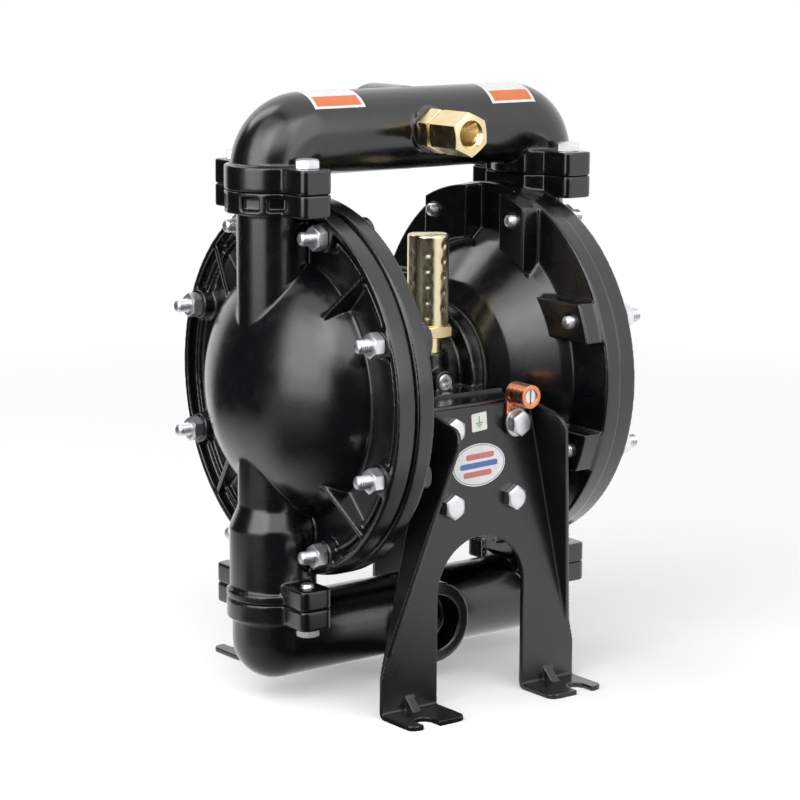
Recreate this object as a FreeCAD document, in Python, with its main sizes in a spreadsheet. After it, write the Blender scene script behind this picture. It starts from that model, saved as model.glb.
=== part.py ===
import FreeCAD, Part

# Air operated double diaphragm pump with one inch ports.
# Frame: origin on the floor under the middle of the pump, +X along the diaphragm rod to the
# right chamber, -Y to the front bracket, +Z up. Lengths in millimetres.
# Every piece is drawn about the middle of the rod and lifted to the height of the rod at the end.

import math
import os

import Sketcher
from FreeCAD import Placement, Rotation, Vector

os.makedirs("parts", exist_ok=True)
doc = FreeCAD.newDocument("diaphragm_pump")

# Driving dimensions
DIMENSIONS = {
    # whole pump
    "floor_clearance": 12.9,
    "joint_plane": 75.0,
    "neck_offset": 96.3,
    # clamp bolts round each chamber
    "bolt_inset": 10.0,
    "clamp_bolt_diameter": 8.0,
    "clamp_hole_diameter": 8.6,
    "nut_flats": 13.0,
    "nut_height": 6.8,
    "clamp_bolt_tip": 104.0,
    "clamp_bolt_stand": 4.4,
    # fluid caps
    "rim_radius": 110.0,
    "rim_front": 87.5,
    "rim_wall": 4.0,
    "web_front": 81.0,
    "boss_front": 88.5,
    "boss_radius": 9.0,
    "ring_rib_front": 84.0,
    "rib_thickness": 3.5,
    "rib_foot_inset": 12.0,
    "rib_climb": 15.5,
    "dome_base": 70.0,
    "dome_inset": 22.0,
    "dome_depth": 53.5,
    "dome_wall": 5.0,
    "neck_radius": 20.6,
    "neck_bore": 15.0,
    "bell_radius": 25.7,
    "bell_top": 80.0,
    "bell_shoulder": 12.0,
    "port_radius": 17.0,
    # diaphragm clamping
    "bead_inset": 10.0,
    "bead_width": 8.0,
    "bead_thickness": 4.0,
    "lip_width": 8.0,
    "diaphragm_thickness": 3.0,
    "wave_inset": 2.5,
    "wave_shoulder": 4.0,
    "wave_height": 6.0,
    "wave_gap": 1.5,
    # flanges of the necks
    "outlet_neck_rise": 7.3,
    "inlet_neck_drop": 12.6,
    "cap_flange_thickness": 13.0,
    "outlet_flange_thickness": 14.5,
    "inlet_flange_thickness": 12.0,
    "inlet_flange_middle": 5.5,
    "inlet_bolt_stand": 2.0,
    "flange_radius": 27.5,
    "ear_bolt_spacing": 35.0,
    "ear_end": 11.5,
    "ear_half_width": 10.5,
    "ear_corner": 4.5,
    "pocket_width": 11.0,
    "pocket_depth": 4.5,
    "pocket_lip": 2.5,
    "pocket_angle": 45.0,
    "pocket_half_angle": 17.0,
    "joint_clearance": 0.6,
    # manifolds
    "tube_radius": 24.2,
    "outlet_axis_rise": 30.5,
    "inlet_axis_drop": 25.6,
    "outlet_bend": 20.0,
    "port_boss_radius": 24.8,
    "port_boss_face": 34.0,
    "port_thread_radius": 16.7,
    "port_thread_depth": 15.0,
    "port_passage_radius": 14.0,
    "tube_step": 3.0,
    # balls and seats
    "ball_radius": 14.0,
    "seat_radius": 18.5,
    "seat_bore": 11.0,
    "seat_height": 7.0,
    "seat_stand": 3.0,
    "seat_gap": 0.3,
    "seal_height": 2.0,
    "seal_inner": 16.0,
    "ball_lift": 8.0,
    "stop_gap": 0.4,
    "stop_width": 6.0,
    # air caps
    "hub_face": 31.0,
    "hub_radius": 42.0,
    "hub_bore": 9.5,
    "hub_wall": 7.0,
    "dish_wall": 4.5,
    "dish_radius": 54.0,
    "dish_face": 37.0,
    "air_flange_back": 63.5,
    "air_flange_lip": 2.0,
    "air_dish_lip": 5.0,
    "air_dish_shoulder": 58.0,
    "pad_face": 51.0,
    "left_pad_face": 57.5,
    "left_pad_radius": 10.0,
    "pad_half_width": 11.5,
    "pad_far_side": 9.5,
    "pad_near_middle": 7.0,
    "front_pad_near_middle": 25.0,
    "pad_edge_inset": 1.0,
    # centre body
    "centre_half_width": 30.0,
    "centre_flange_radius": 40.0,
    "centre_flange_start": 20.0,
    "barrel_radius": 30.0,
    "block_top": 5.0,
    "block_bottom": 80.0,
    "block_front": 50.0,
    "pad_half_span": 34.0,
    "tower_radius": 11.0,
    "tower_offset": 22.3,
    "tower_top": 17.0,
    "tower_bore": 7.0,
    "plug_face": 40.0,
    "plug_boss_radius": 7.5,
    "plug_radius": 5.0,
    "plug_length": 8.0,
    "plug_stand": 0.5,
    "plug_socket_depth": 4.0,
    "air_port_bore": 6.0,
    "air_port_boss": 12.0,
    "air_port_height": 8.0,
    "air_port_start": 16.0,
    # rod, bushings and seals
    "rod_radius": 8.0,
    "rod_half_length": 68.0,
    "rod_clearance": 0.05,
    "rod_bore_gap": 0.5,
    "bushing_radius": 11.0,
    "bushing_length": 18.0,
    "rod_seal_length": 5.0,
    "wave_width": 23.5,
    "inner_washer_hub_share": 0.5,
    "outer_washer_shoulder_share": 0.6,
    "outer_washer_crown_share": 0.35,
    "washer_rim": 1.5,
    "inner_washer_thickness": 5.5,
    "outer_washer_thickness": 7.5,
    "centre_screw_radius": 5.0,
    "centre_screw_depth": 22.0,
    "centre_screw_flats": 16.0,
    "centre_screw_head": 6.5,
    # pilot rod
    "pilot_radius": 3.0,
    "pilot_height": 21.0,
    "pilot_half_length": 58.6,
    "pilot_bushing_radius": 5.0,
    "pilot_bushing_length": 8.0,
    "pilot_collar_radius": 3.7,
    "pilot_collar_length": 10.0,
    "pilot_hole_gap": 0.3,
    "pilot_bore_gap": 1.0,
    # valve
    "gasket_thickness": 1.5,
    "valve_face": 72.6,
    "spool_height": 42.6,
    "spool_offset": 62.0,
    "spool_radius": 6.0,
    "spool_half_length": 28.0,
    "spool_land": 7.0,
    "spool_neck": 3.5,
    "valve_cap_thickness": 3.5,
    "valve_cap_half": 14.0,
    "valve_screw_spread": 10.0,
    "valve_screw_radius": 1.5,
    "valve_screw_length": 10.0,
    "valve_screw_head": 2.0,
    "spool_bore_gap": 0.8,
    "spool_seal_width": 2.0,
    "spool_seal_depth": 1.5,
    # air cap screws
    "air_screw_circle": 32.0,
    "air_screw_radius": 3.0,
    "air_screw_length": 17.0,
    "air_screw_head": 5.0,
    # brackets
    "sheet": 3.0,
    "plate_top": 8.0,
    "plate_top_half": 38.0,
    "leg_outer": 72.3,
    "leg_inner": 32.3,
    "fold_above_floor": 24.3,
    "arch_top": 86.0,
    "foot_reach": 103.8,
    "wing_corner": 10.0,
    "foot_corner": 5.0,
    "slot_offset": 57.6,
    "slot_width": 11.0,
    "slot_depth": 13.0,
    "bend_radius": 4.0,
    "gusset": 8.0,
    "bracket_bolt_span": 23.2,
    "bracket_bolt_high": 20.2,
    "bracket_bolt_low": 65.2,
    "bracket_bolt_diameter": 8.0,
    "bracket_bolt_length": 30.0,
    "bolt_head": 5.3,
    # ground lug
    "lug_thickness": 2.0,
    "lug_half_width": 7.0,
    "lug_rise": 17.0,
    "lug_barrel_radius": 7.0,
    "lug_barrel_length": 16.0,
    "lug_screw_radius": 4.2,
    "lug_washer": 1.6,
    "lug_screw_length": 6.0,
    "lug_floor": 4.0,
    "lug_wire_radius": 2.2,
    "lug_wire_height": 5.0,
    "lug_slot_half": 0.6,
    "lug_slot_depth": 2.5,
    # muffler
    "muffler_radius": 12.35,
    "muffler_wall": 1.2,
    "muffler_bottom": 33.0,
    "muffler_top": 87.0,
    "muffler_hex_bottom": 26.0,
    "muffler_hex_flats": 26.5,
    "muffler_stem_radius": 9.0,
    "spanner_room": 0.6,
    "muffler_thread": 8.0,
    "muffler_thread_wall": 2.0,
    # brass fitting
    "brass_flats": 22.8,
    "brass_boss_radius": 13.6,
    "brass_boss_height": 0.8,
    "brass_nipple_length": 12.0,
    "brass_coupling_length": 25.0,
    "brass_groove": 1.5,
    "brass_thread_bore": 6.75,
    "brass_nipple_bore": 5.0,
    "brass_thread_radius": 8.5,
    "brass_turn": 36.0,
}

sheet = doc.addObject("Spreadsheet::Sheet", "Sizes")
for row, (word, amount) in enumerate(DIMENSIONS.items(), start=1):
    sheet.set("A%d" % row, word)
    sheet.set("B%d" % row, str(amount))
    sheet.setAlias("B%d" % row, word)
doc.recompute()


class Size:
    """A number together with the expression over the sheet that gives it."""

    def __init__(self, number, text):
        self.number = number
        self.text = text

    def __float__(self):
        return float(self.number)

    def __neg__(self):
        return joined(0.0, "-", self)

    def __add__(self, other):
        return joined(self, "+", other)

    def __radd__(self, other):
        return joined(other, "+", self)

    def __sub__(self, other):
        return joined(self, "-", other)

    def __rsub__(self, other):
        return joined(other, "-", self)

    def __mul__(self, other):
        return joined(self, "*", other)

    def __rmul__(self, other):
        return joined(other, "*", self)

    def __truediv__(self, other):
        return joined(self, "/", other)


def written(amount):
    return amount.text if isinstance(amount, Size) else repr(float(amount))


def joined(first, sign, second):
    left, right = float(first), float(second)
    if sign == "+":
        number = left + right
    elif sign == "-":
        number = left - right
    elif sign == "*":
        number = left * right
    else:
        number = left / right
    return Size(number, "(%s %s %s)" % (written(first), sign, written(second)))


def root(amount):
    return Size(math.sqrt(float(amount)), "sqrt(%s)" % written(amount))


class Sizes:
    """The cells of the sheet, each as a Size under its own word."""


for word in DIMENSIONS:
    setattr(Sizes, word, Size(float(sheet.get(word)), "Sizes." + word))
S = Sizes

# Sizes that follow from the driving ones
S.bolt_circle = S.rim_radius - S.bolt_inset
S.air_flange_radius = S.rim_radius + S.air_flange_lip
S.dome_radius = S.bolt_circle - S.dome_inset
S.rib_foot = S.dome_radius - S.rib_foot_inset
S.air_dish_edge = S.dome_radius + S.air_dish_lip
S.bead_outer = S.bolt_circle - S.bead_inset
S.bead_inner = S.bead_outer - S.bead_width
S.lip_inner = S.bead_inner - S.lip_width
S.wave_outer = S.lip_inner - S.wave_inset
S.washer_radius = S.wave_outer - S.wave_width
S.inner_washer_hub = S.washer_radius * S.inner_washer_hub_share
S.outer_washer_shoulder = S.washer_radius * S.outer_washer_shoulder_share
S.outer_washer_crown = S.washer_radius * S.outer_washer_crown_share
S.outlet_joint = S.rim_radius + S.outlet_neck_rise
S.inlet_joint = S.rim_radius + S.inlet_neck_drop
S.outlet_axis = S.outlet_joint + S.outlet_axis_rise
S.inlet_axis = S.inlet_joint + S.inlet_axis_drop
S.rod_height = S.inlet_axis + S.tube_radius + S.floor_clearance
S.fold_end = S.rod_height - S.fold_above_floor
S.ear_reach = S.ear_bolt_spacing + S.ear_end
S.brass_start = S.tube_radius + S.brass_boss_height
S.brass_joint = S.brass_start + S.brass_nipple_length
S.brass_face = S.brass_joint + S.brass_coupling_length
S.lug_face = S.valve_face + S.sheet

# Turns that lay a thing's own Z along an axis of the pump
ALONG = {
    "x": Rotation(Vector(0, 1, 0), 90),
    "-x": Rotation(Vector(0, 1, 0), -90),
    "y": Rotation(Vector(1, 0, 0), -90),
    "-y": Rotation(Vector(1, 0, 0), 90),
    "z": Rotation(),
    "-z": Rotation(Vector(1, 0, 0), 180),
}
BOLT_COUNT = 8
HALF_STEP = 180.0 / BOLT_COUNT
FAR = 400.0


def bind(thing, prop, amount):
    setattr(thing, prop, float(amount))
    if isinstance(amount, Size):
        thing.setExpression(prop, amount.text)


def put(thing, x=0.0, y=0.0, z=0.0, turn=None):
    thing.Placement = Placement(Vector(float(x), float(y), float(z)), turn or Rotation())
    for letter, amount in zip("xyz", (x, y, z)):
        if isinstance(amount, Size):
            thing.setExpression("Placement.Base." + letter, amount.text)
    return thing


def cylinder(radius, length, x=0.0, y=0.0, z=0.0, along="z"):
    thing = doc.addObject("Part::Cylinder", "Cylinder")
    bind(thing, "Radius", radius)
    bind(thing, "Height", length)
    return put(thing, x, y, z, ALONG[along])


def cone(low_radius, high_radius, length, x=0.0, y=0.0, z=0.0, along="z"):
    thing = doc.addObject("Part::Cone", "Cone")
    bind(thing, "Radius1", low_radius)
    bind(thing, "Radius2", high_radius)
    bind(thing, "Height", length)
    return put(thing, x, y, z, ALONG[along])


def sphere(radius, x, y, z):
    thing = doc.addObject("Part::Sphere", "Sphere")
    bind(thing, "Radius", radius)
    return put(thing, x, y, z)


def box(low, high):
    thing = doc.addObject("Part::Box", "Box")
    for prop, a, b in zip(("Length", "Width", "Height"), low, high):
        bind(thing, prop, b - a if isinstance(b, Size) or isinstance(a, Size) else float(b - a))
    return put(thing, *low)


def hexagon(flats, length, x=0.0, y=0.0, z=0.0, along="z"):
    thing = doc.addObject("Part::Prism", "Prism")
    thing.Polygon = 6
    bind(thing, "Circumradius", flats / math.sqrt(3.0))
    bind(thing, "Height", length)
    return put(thing, x, y, z, ALONG[along])


def fuse(*pieces):
    thing = doc.addObject("Part::MultiFuse", "Fusion")
    thing.Shapes = list(pieces)
    thing.Refine = True
    return thing


def cut(base, *tools):
    thing = doc.addObject("Part::Cut", "Cut")
    thing.Base = base
    thing.Tool = tools[0] if len(tools) == 1 else fuse(*tools)
    thing.Refine = True
    return thing


def common(first, second):
    thing = doc.addObject("Part::Common", "Common")
    thing.Base = first
    thing.Tool = second
    return thing


def group(*pieces):
    """Separate solids of one kind in one node."""
    thing = doc.addObject("Part::Compound", "Compound")
    thing.Links = list(pieces)
    return thing


def around(angle, radius):
    """Y and Z of a spot on a circle about the rod, the angle counted from the rear upwards."""
    turn = math.radians(angle)
    return radius * math.cos(turn), radius * math.sin(turn)


def bolt_angles():
    return [HALF_STEP + 2.0 * HALF_STEP * index for index in range(BOLT_COUNT)]


def plane_of(body, role):
    return next(item for item in body.Origin.OriginFeatures if item.Role == role)


def polygon(holder, points, name="Outline"):
    """A closed outline in a sketch, each corner held by its two distances from the origin."""
    sketch = holder.newObject("Sketcher::SketchObject", name)
    corners = [Vector(float(across), float(up), 0) for across, up in points]
    count = len(corners)
    for index in range(count):
        sketch.addGeometry(Part.LineSegment(corners[index], corners[(index + 1) % count]), False)
    for index, (across, up) in enumerate(points):
        sketch.addConstraint(Sketcher.Constraint("Coincident", index, 2, (index + 1) % count, 1))
        for kind, amount in (("DistanceX", across), ("DistanceY", up)):
            held = sketch.addConstraint(Sketcher.Constraint(kind, -1, 1, index, 1, float(amount)))
            if isinstance(amount, Size):
                sketch.setExpression("Constraints[%d]" % held, amount.text)
    return sketch


def turned(label, points):
    """A body turned about the rod: each point is a place along X and a radius."""
    body = doc.addObject("PartDesign::Body", label)
    sketch = polygon(body, points)
    sketch.AttachmentSupport = [(plane_of(body, "XZ_Plane"), "")]
    sketch.MapMode = "FlatFace"
    doc.recompute()
    lathe = body.newObject("PartDesign::Revolution", "Turning")
    lathe.Profile = sketch
    lathe.ReferenceAxis = (sketch, ["H_Axis"])
    lathe.Angle = 360.0
    sketch.Visibility = False
    return body


def slab(points, plane, start, thickness):
    """A flat piece cut to an outline and padded along the normal of an origin plane."""
    body = doc.addObject("PartDesign::Body", "Slab")
    sketch = polygon(body, points)
    sketch.AttachmentSupport = [(plane_of(body, plane), "")]
    sketch.MapMode = "FlatFace"
    sketch.AttachmentOffset = Placement(Vector(0, 0, float(start)), Rotation())
    if isinstance(start, Size):
        sketch.setExpression("AttachmentOffset.Base.z", start.text)
    doc.recompute()
    pad = body.newObject("PartDesign::Pad", "Thickness")
    pad.Profile = sketch
    bind(pad, "Length", thickness)
    sketch.Visibility = False
    return body


def rounded(thing, radius, wanted):
    """Round the edges of a thing that the test picks."""
    doc.recompute()
    chosen = [index for index, edge in enumerate(thing.Shape.Edges, start=1) if wanted(edge)]
    fillet = doc.addObject("Part::Fillet", "Fillet")
    fillet.Base = thing
    fillet.Edges = [(index, float(radius), float(radius)) for index in chosen]
    return fillet


def runs_along(edge, direction):
    if not isinstance(edge.Curve, Part.Line):
        return False
    return abs(abs(edge.Curve.Direction.dot(direction)) - 1.0) < 1e-6


nodes = []


def node(label, thing, turn=0.0):
    """Name a finished piece and lift it to the height of the rod."""
    thing.Label = label
    put(thing, 0.0, 0.0, S.rod_height, Rotation(Vector(0, 0, 1), turn))
    nodes.append(thing)
    return thing


SIDES = {"right": 0.0, "left": 180.0}


# Flange shared by the necks of the caps and the ends of the manifolds
def ear_flange(low, high, middle_high):
    """A round flange with an ear at the front and rear, flat towards the middle of the pump."""
    flat_side = S.joint_plane + S.joint_clearance
    disc = cylinder(S.flange_radius, middle_high - low, S.neck_offset, 0.0, low)
    kept = box((flat_side, -FAR, low), (S.neck_offset + FAR, FAR, middle_high))
    middle = common(disc, kept)
    ears = box(
        (S.neck_offset - S.ear_half_width, -S.ear_reach, low),
        (S.neck_offset + S.ear_half_width, S.ear_reach, high),
    )
    upright = Vector(0, 0, 1)
    ears = rounded(ears, S.ear_corner, lambda edge: runs_along(edge, upright))
    return [middle, ears]


def ear_holes(low, high, radius):
    return [
        cylinder(radius, high - low, S.neck_offset, side * S.ear_bolt_spacing, low)
        for side in (-1.0, 1.0)
    ]


# Fluid cap
def cap_rib(angle):
    """A rib from the rim to the dome, its top edge rising towards the dome."""
    rib = doc.addObject("Part::Wedge", "Rib")
    half = S.rib_thickness / 2.0
    low = S.joint_plane + S.diaphragm_thickness
    for prop, amount in (
        ("Xmin", -half),
        ("Xmax", half),
        ("X2min", -half),
        ("X2max", half),
        ("Ymin", S.rib_foot),
        ("Ymax", S.rim_radius - S.rim_wall / 2.0),
        ("Zmin", low),
        ("Z2min", low),
        ("Zmax", S.web_front + S.rib_climb),
        ("Z2max", S.rim_front - 1.0),
    ):
        bind(rib, prop, amount)
    upright = Rotation(Vector(1, 1, 1), 120)
    rib.Placement = Placement(Vector(), Rotation(Vector(1, 0, 0), angle) * upright)
    return rib


def fluid_cap(side):
    web = cylinder(S.rim_radius, S.web_front - S.joint_plane, S.joint_plane, along="x")
    rim = cut(
        cylinder(S.rim_radius, S.rim_front - S.joint_plane, S.joint_plane, along="x"),
        cylinder(S.rim_radius - S.rim_wall, FAR, 0.0, along="x"),
    )
    ring_outer = S.bolt_circle + S.rib_thickness / 2.0
    ring_rib = cut(
        cylinder(ring_outer, S.ring_rib_front - S.joint_plane, S.joint_plane, along="x"),
        cylinder(S.bolt_circle - S.rib_thickness / 2.0, FAR, 0.0, along="x"),
    )
    dome = ellipsoid(S.dome_depth, S.dome_radius)
    neck_low = -S.inlet_joint
    neck = cylinder(
        S.neck_radius, S.inlet_joint + S.outlet_joint, S.neck_offset, 0.0, neck_low
    )
    bell = cylinder(
        S.bell_radius, S.inlet_joint - S.bell_top, S.neck_offset, 0.0, neck_low
    )
    shoulder = cone(
        S.bell_radius, S.neck_radius, S.bell_shoulder, S.neck_offset, 0.0, -S.bell_top
    )
    top_low = S.outlet_joint - S.cap_flange_thickness
    bottom_high = S.inlet_flange_thickness - S.inlet_joint
    solids = [web, rim, ring_rib, dome, neck, bell, shoulder]
    solids += ear_flange(top_low, S.outlet_joint, S.outlet_joint)
    middle_high = S.inlet_flange_middle - S.inlet_joint
    solids += ear_flange(-S.inlet_joint, bottom_high, middle_high)
    for angle in bolt_angles():
        y, z = around(angle, S.bolt_circle)
        solids.append(
            cylinder(S.boss_radius, S.boss_front - S.joint_plane, S.joint_plane, y, z, "x")
        )
    for index in range(BOLT_COUNT):
        angle = 2.0 * HALF_STEP * index
        if round(angle) % 180 != 90:
            solids.append(cap_rib(angle))

    behind = box((-FAR, -FAR, -FAR), (S.joint_plane, FAR, FAR))
    chamber = ellipsoid(S.dome_depth - S.dome_wall, S.dome_radius - S.dome_wall)
    mouth_depth = S.diaphragm_thickness / 2.0
    mouth = cylinder(S.bead_inner, mouth_depth, S.joint_plane, along="x")
    groove = cut(
        cylinder(S.bead_outer, S.bead_thickness / 2.0, S.joint_plane, along="x"),
        cylinder(S.bead_inner, FAR, 0.0, along="x"),
    )
    passage = cylinder(
        S.neck_bore, S.outlet_joint + S.inlet_joint, S.neck_offset, 0.0, -S.inlet_joint
    )
    top_recess = S.seat_height - S.seat_stand + S.seal_height
    seat_pocket = cylinder(
        S.seat_radius, top_recess, S.neck_offset, 0.0, S.outlet_joint - top_recess
    )
    ball_seat = S.seat_stand - S.inlet_joint
    stop = ball_seat + stop_height()
    cage = cylinder(S.port_radius, stop - ball_seat, S.neck_offset, 0.0, ball_seat)
    low_pocket = cylinder(
        S.seat_radius, S.seat_stand, S.neck_offset, 0.0, -S.inlet_joint
    )
    tools = [behind, chamber, mouth, groove, passage, seat_pocket, cage, low_pocket]
    tools += ear_holes(top_low, S.outlet_joint, S.clamp_bolt_diameter / 2.0)
    tools += ear_holes(-S.inlet_joint, bottom_high, S.clamp_bolt_diameter / 2.0)
    for angle in bolt_angles():
        y, z = around(angle, S.bolt_circle)
        tools.append(
            cylinder(S.clamp_hole_diameter / 2.0, FAR, 0.0, y, z, "x")
        )
    for side_of_ear in (-1.0, 1.0):
        for side_of_rib in (-1.0, 1.0):
            angle = side_of_ear * S.pocket_angle + side_of_rib * S.pocket_half_angle
            tools.append(flange_pocket(float(angle), top_low))
    hollow = cut(fuse(*solids), *tools)
    bar_half = S.stop_width / 2.0
    bar = common(
        box(
            (S.neck_offset - bar_half, -S.neck_radius, stop),
            (S.neck_offset + bar_half, S.neck_radius, stop + S.stop_width),
        ),
        cylinder(S.neck_radius - 1.0, FAR, S.neck_offset, 0.0, -FAR),
    )
    node(side + "_fluid_cap", fuse(hollow, bar), SIDES[side])


def ellipsoid(depth, radius):
    """The dome's form: half round along the rod, full round across it."""
    thing = doc.addObject("Part::Ellipsoid", "Ellipsoid")
    bind(thing, "Radius1", depth)
    bind(thing, "Radius2", radius)
    bind(thing, "Radius3", radius)
    thing.Angle1 = -90.0
    thing.Angle2 = 90.0
    thing.Angle3 = 360.0
    return put(thing, S.dome_base, 0.0, 0.0, ALONG["x"])


def flange_pocket(angle, low):
    """A shallow pocket in the outer side of the top flange."""
    pocket = doc.addObject("Part::Box", "Pocket")
    bind(pocket, "Length", S.flange_radius)
    bind(pocket, "Width", S.pocket_width)
    bind(pocket, "Height", S.cap_flange_thickness - 2.0 * S.pocket_lip)
    turn = math.radians(angle)
    outward = Vector(math.cos(turn), math.sin(turn), 0)
    across = Vector(-outward.y, outward.x, 0)
    reach = S.flange_radius - S.pocket_depth
    half = S.pocket_width / 2.0
    x = S.neck_offset + reach * outward.x - half * across.x
    y = reach * outward.y - half * across.y
    return put(pocket, x, y, low + S.pocket_lip, Rotation(Vector(0, 0, 1), angle))


def seated_height():
    """Height of a ball's centre over the top edge of its seat."""
    return root(S.ball_radius * S.ball_radius - S.seat_bore * S.seat_bore)


def stop_height():
    """Height over the top edge of a seat at which a risen ball meets its stop."""
    return seated_height() + S.seat_gap + S.ball_radius + S.ball_lift + S.stop_gap


# Air cap
def air_cap(side):
    joint = S.joint_plane
    bead = S.bead_thickness / 2.0
    lip = joint - S.diaphragm_thickness / 2.0
    dish = turned(
        "Dish",
        [
            (S.hub_face, S.hub_bore),
            (S.hub_face, S.hub_radius),
            (S.dish_face, S.dish_radius),
            (S.air_dish_shoulder, S.dome_radius),
            (S.air_flange_back, S.air_dish_edge),
            (S.air_flange_back, S.air_flange_radius),
            (joint, S.air_flange_radius),
            (joint, S.bead_outer),
            (joint - bead, S.bead_outer),
            (joint - bead, S.bead_inner),
            (lip, S.bead_inner),
            (lip, S.lip_inner),
            (S.air_dish_shoulder + S.dish_wall, S.dome_radius - S.dish_wall),
            (S.dish_face + S.hub_wall, S.dish_radius - S.dish_wall),
            (S.hub_face + S.hub_wall, S.hub_radius - S.dish_wall / 2.0),
            (S.hub_face + S.hub_wall, S.hub_bore),
        ],
    )
    tools = [cylinder(S.pilot_radius + S.pilot_hole_gap, FAR, 0.0, 0.0, S.pilot_height, "x")]
    for angle in bolt_angles():
        y, z = around(angle, S.bolt_circle)
        tools.append(cylinder(S.clamp_hole_diameter / 2.0, FAR, 0.0, y, z, "x"))
    for angle in screw_angles():
        y, z = around(angle, S.air_screw_circle)
        tools.append(cylinder(S.air_screw_radius, FAR, 0.0, y, z, "x"))
    pads = [bolt_pads()] if side == "right" else round_pads()
    node(side + "_air_cap", cut(fuse(dish, *pads), *tools), SIDES[side])


def round_pads():
    """The low round pads of the left cap."""
    back = S.joint_plane - S.bead_thickness
    pads = []
    for angle in bolt_angles():
        y, z = around(angle, S.bolt_circle)
        pads.append(
            cylinder(S.left_pad_radius, back - S.left_pad_face, S.left_pad_face, y, z, "x")
        )
    return pads


def bolt_pads():
    """The square pads behind the flange that carry the tails of the clamp bolts."""
    depth = S.air_flange_back - S.pad_face
    rim = S.air_flange_radius - S.pad_edge_inset
    ring = cut(
        cylinder(rim, depth, S.pad_face, along="x"),
        cylinder(S.dome_radius, FAR, 0.0, along="x"),
    )
    near, far = (float(amount) for amount in around(HALF_STEP, 1.0))
    blocks = []
    for up in (-1.0, 1.0):
        for across in (-1.0, 1.0):
            middle = S.bolt_circle * far
            spans = [(middle - S.pad_half_width, middle + S.pad_half_width)]
            inner_end = S.pad_near_middle if across > 0 else S.front_pad_near_middle
            spans.append((inner_end, middle + S.pad_far_side))
            level = pad_span(up, spans[0])
            outward = pad_span(across, (S.dome_radius * near - S.pad_half_width, S.rim_radius + FAR))
            blocks.append(pad_block(outward, level))
            level = pad_span(across, spans[1])
            outward = pad_span(up, (S.dome_radius * near - S.pad_half_width, S.rim_radius + FAR))
            blocks.append(pad_block(level, outward))
    return common(ring, fuse(*blocks))


def pad_span(sign, span):
    """A stretch from the middle outwards, on one side of it."""
    low, high = span
    return (low, high) if sign > 0 else (-high, -low)


def pad_block(across, up):
    back = S.joint_plane - S.bead_thickness
    return box((S.pad_face, across[0], up[0]), (back, across[1], up[1]))


def screw_angles():
    return [45.0 + 90.0 * index for index in range(4)]


# Manifolds
def elbow(radius, bend):
    """A quarter bend of a round section, as a sketch turned about the inside of the bend."""
    body = doc.addObject("PartDesign::Body", "Elbow")
    sketch = body.newObject("Sketcher::SketchObject", "Section")
    reach = math.acos(-float(bend) / float(radius))
    sketch.addGeometry(
        Part.ArcOfCircle(
            Part.Circle(Vector(float(bend), 0, 0), Vector(0, 0, 1), float(radius)), -reach, reach
        ),
        False,
    )
    top = Vector(0, math.sin(reach) * float(radius), 0)
    sketch.addGeometry(Part.LineSegment(top, -top), False)
    sketch.addConstraint(Sketcher.Constraint("Coincident", 0, 2, 1, 1))
    sketch.addConstraint(Sketcher.Constraint("Coincident", 1, 2, 0, 1))
    sketch.addConstraint(Sketcher.Constraint("PointOnObject", 1, 1, -2))
    sketch.addConstraint(Sketcher.Constraint("PointOnObject", 1, 2, -2))
    sketch.addConstraint(Sketcher.Constraint("PointOnObject", 0, 3, -1))
    held = sketch.addConstraint(Sketcher.Constraint("DistanceX", -1, 1, 0, 3, float(bend)))
    sketch.setExpression("Constraints[%d]" % held, bend.text)
    held = sketch.addConstraint(Sketcher.Constraint("Radius", 0, float(radius)))
    sketch.setExpression("Constraints[%d]" % held, radius.text)
    sketch.AttachmentSupport = [(plane_of(body, "XY_Plane"), "")]
    sketch.MapMode = "FlatFace"
    doc.recompute()
    bend_feature = body.newObject("PartDesign::Revolution", "Bend")
    bend_feature.Profile = sketch
    bend_feature.ReferenceAxis = (sketch, ["V_Axis"])
    bend_feature.Angle = 90.0
    bend_feature.Reversed = True
    return body


def bore_elbow(radius, bend):
    thing = doc.addObject("Part::Torus", "Torus")
    bind(thing, "Radius1", bend)
    bind(thing, "Radius2", radius)
    thing.Angle3 = 90.0
    return thing


def port_bore(height, along):
    """The threaded mouth of a port and the passage from it into the tube."""
    sign = 1.0 if along == "y" else -1.0
    thread_end = S.port_boss_face - S.port_thread_depth
    mouth = cylinder(S.port_thread_radius, FAR, 0.0, sign * thread_end, height, along)
    return [mouth, cylinder(S.port_passage_radius, FAR, 0.0, 0.0, height, along)]


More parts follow.
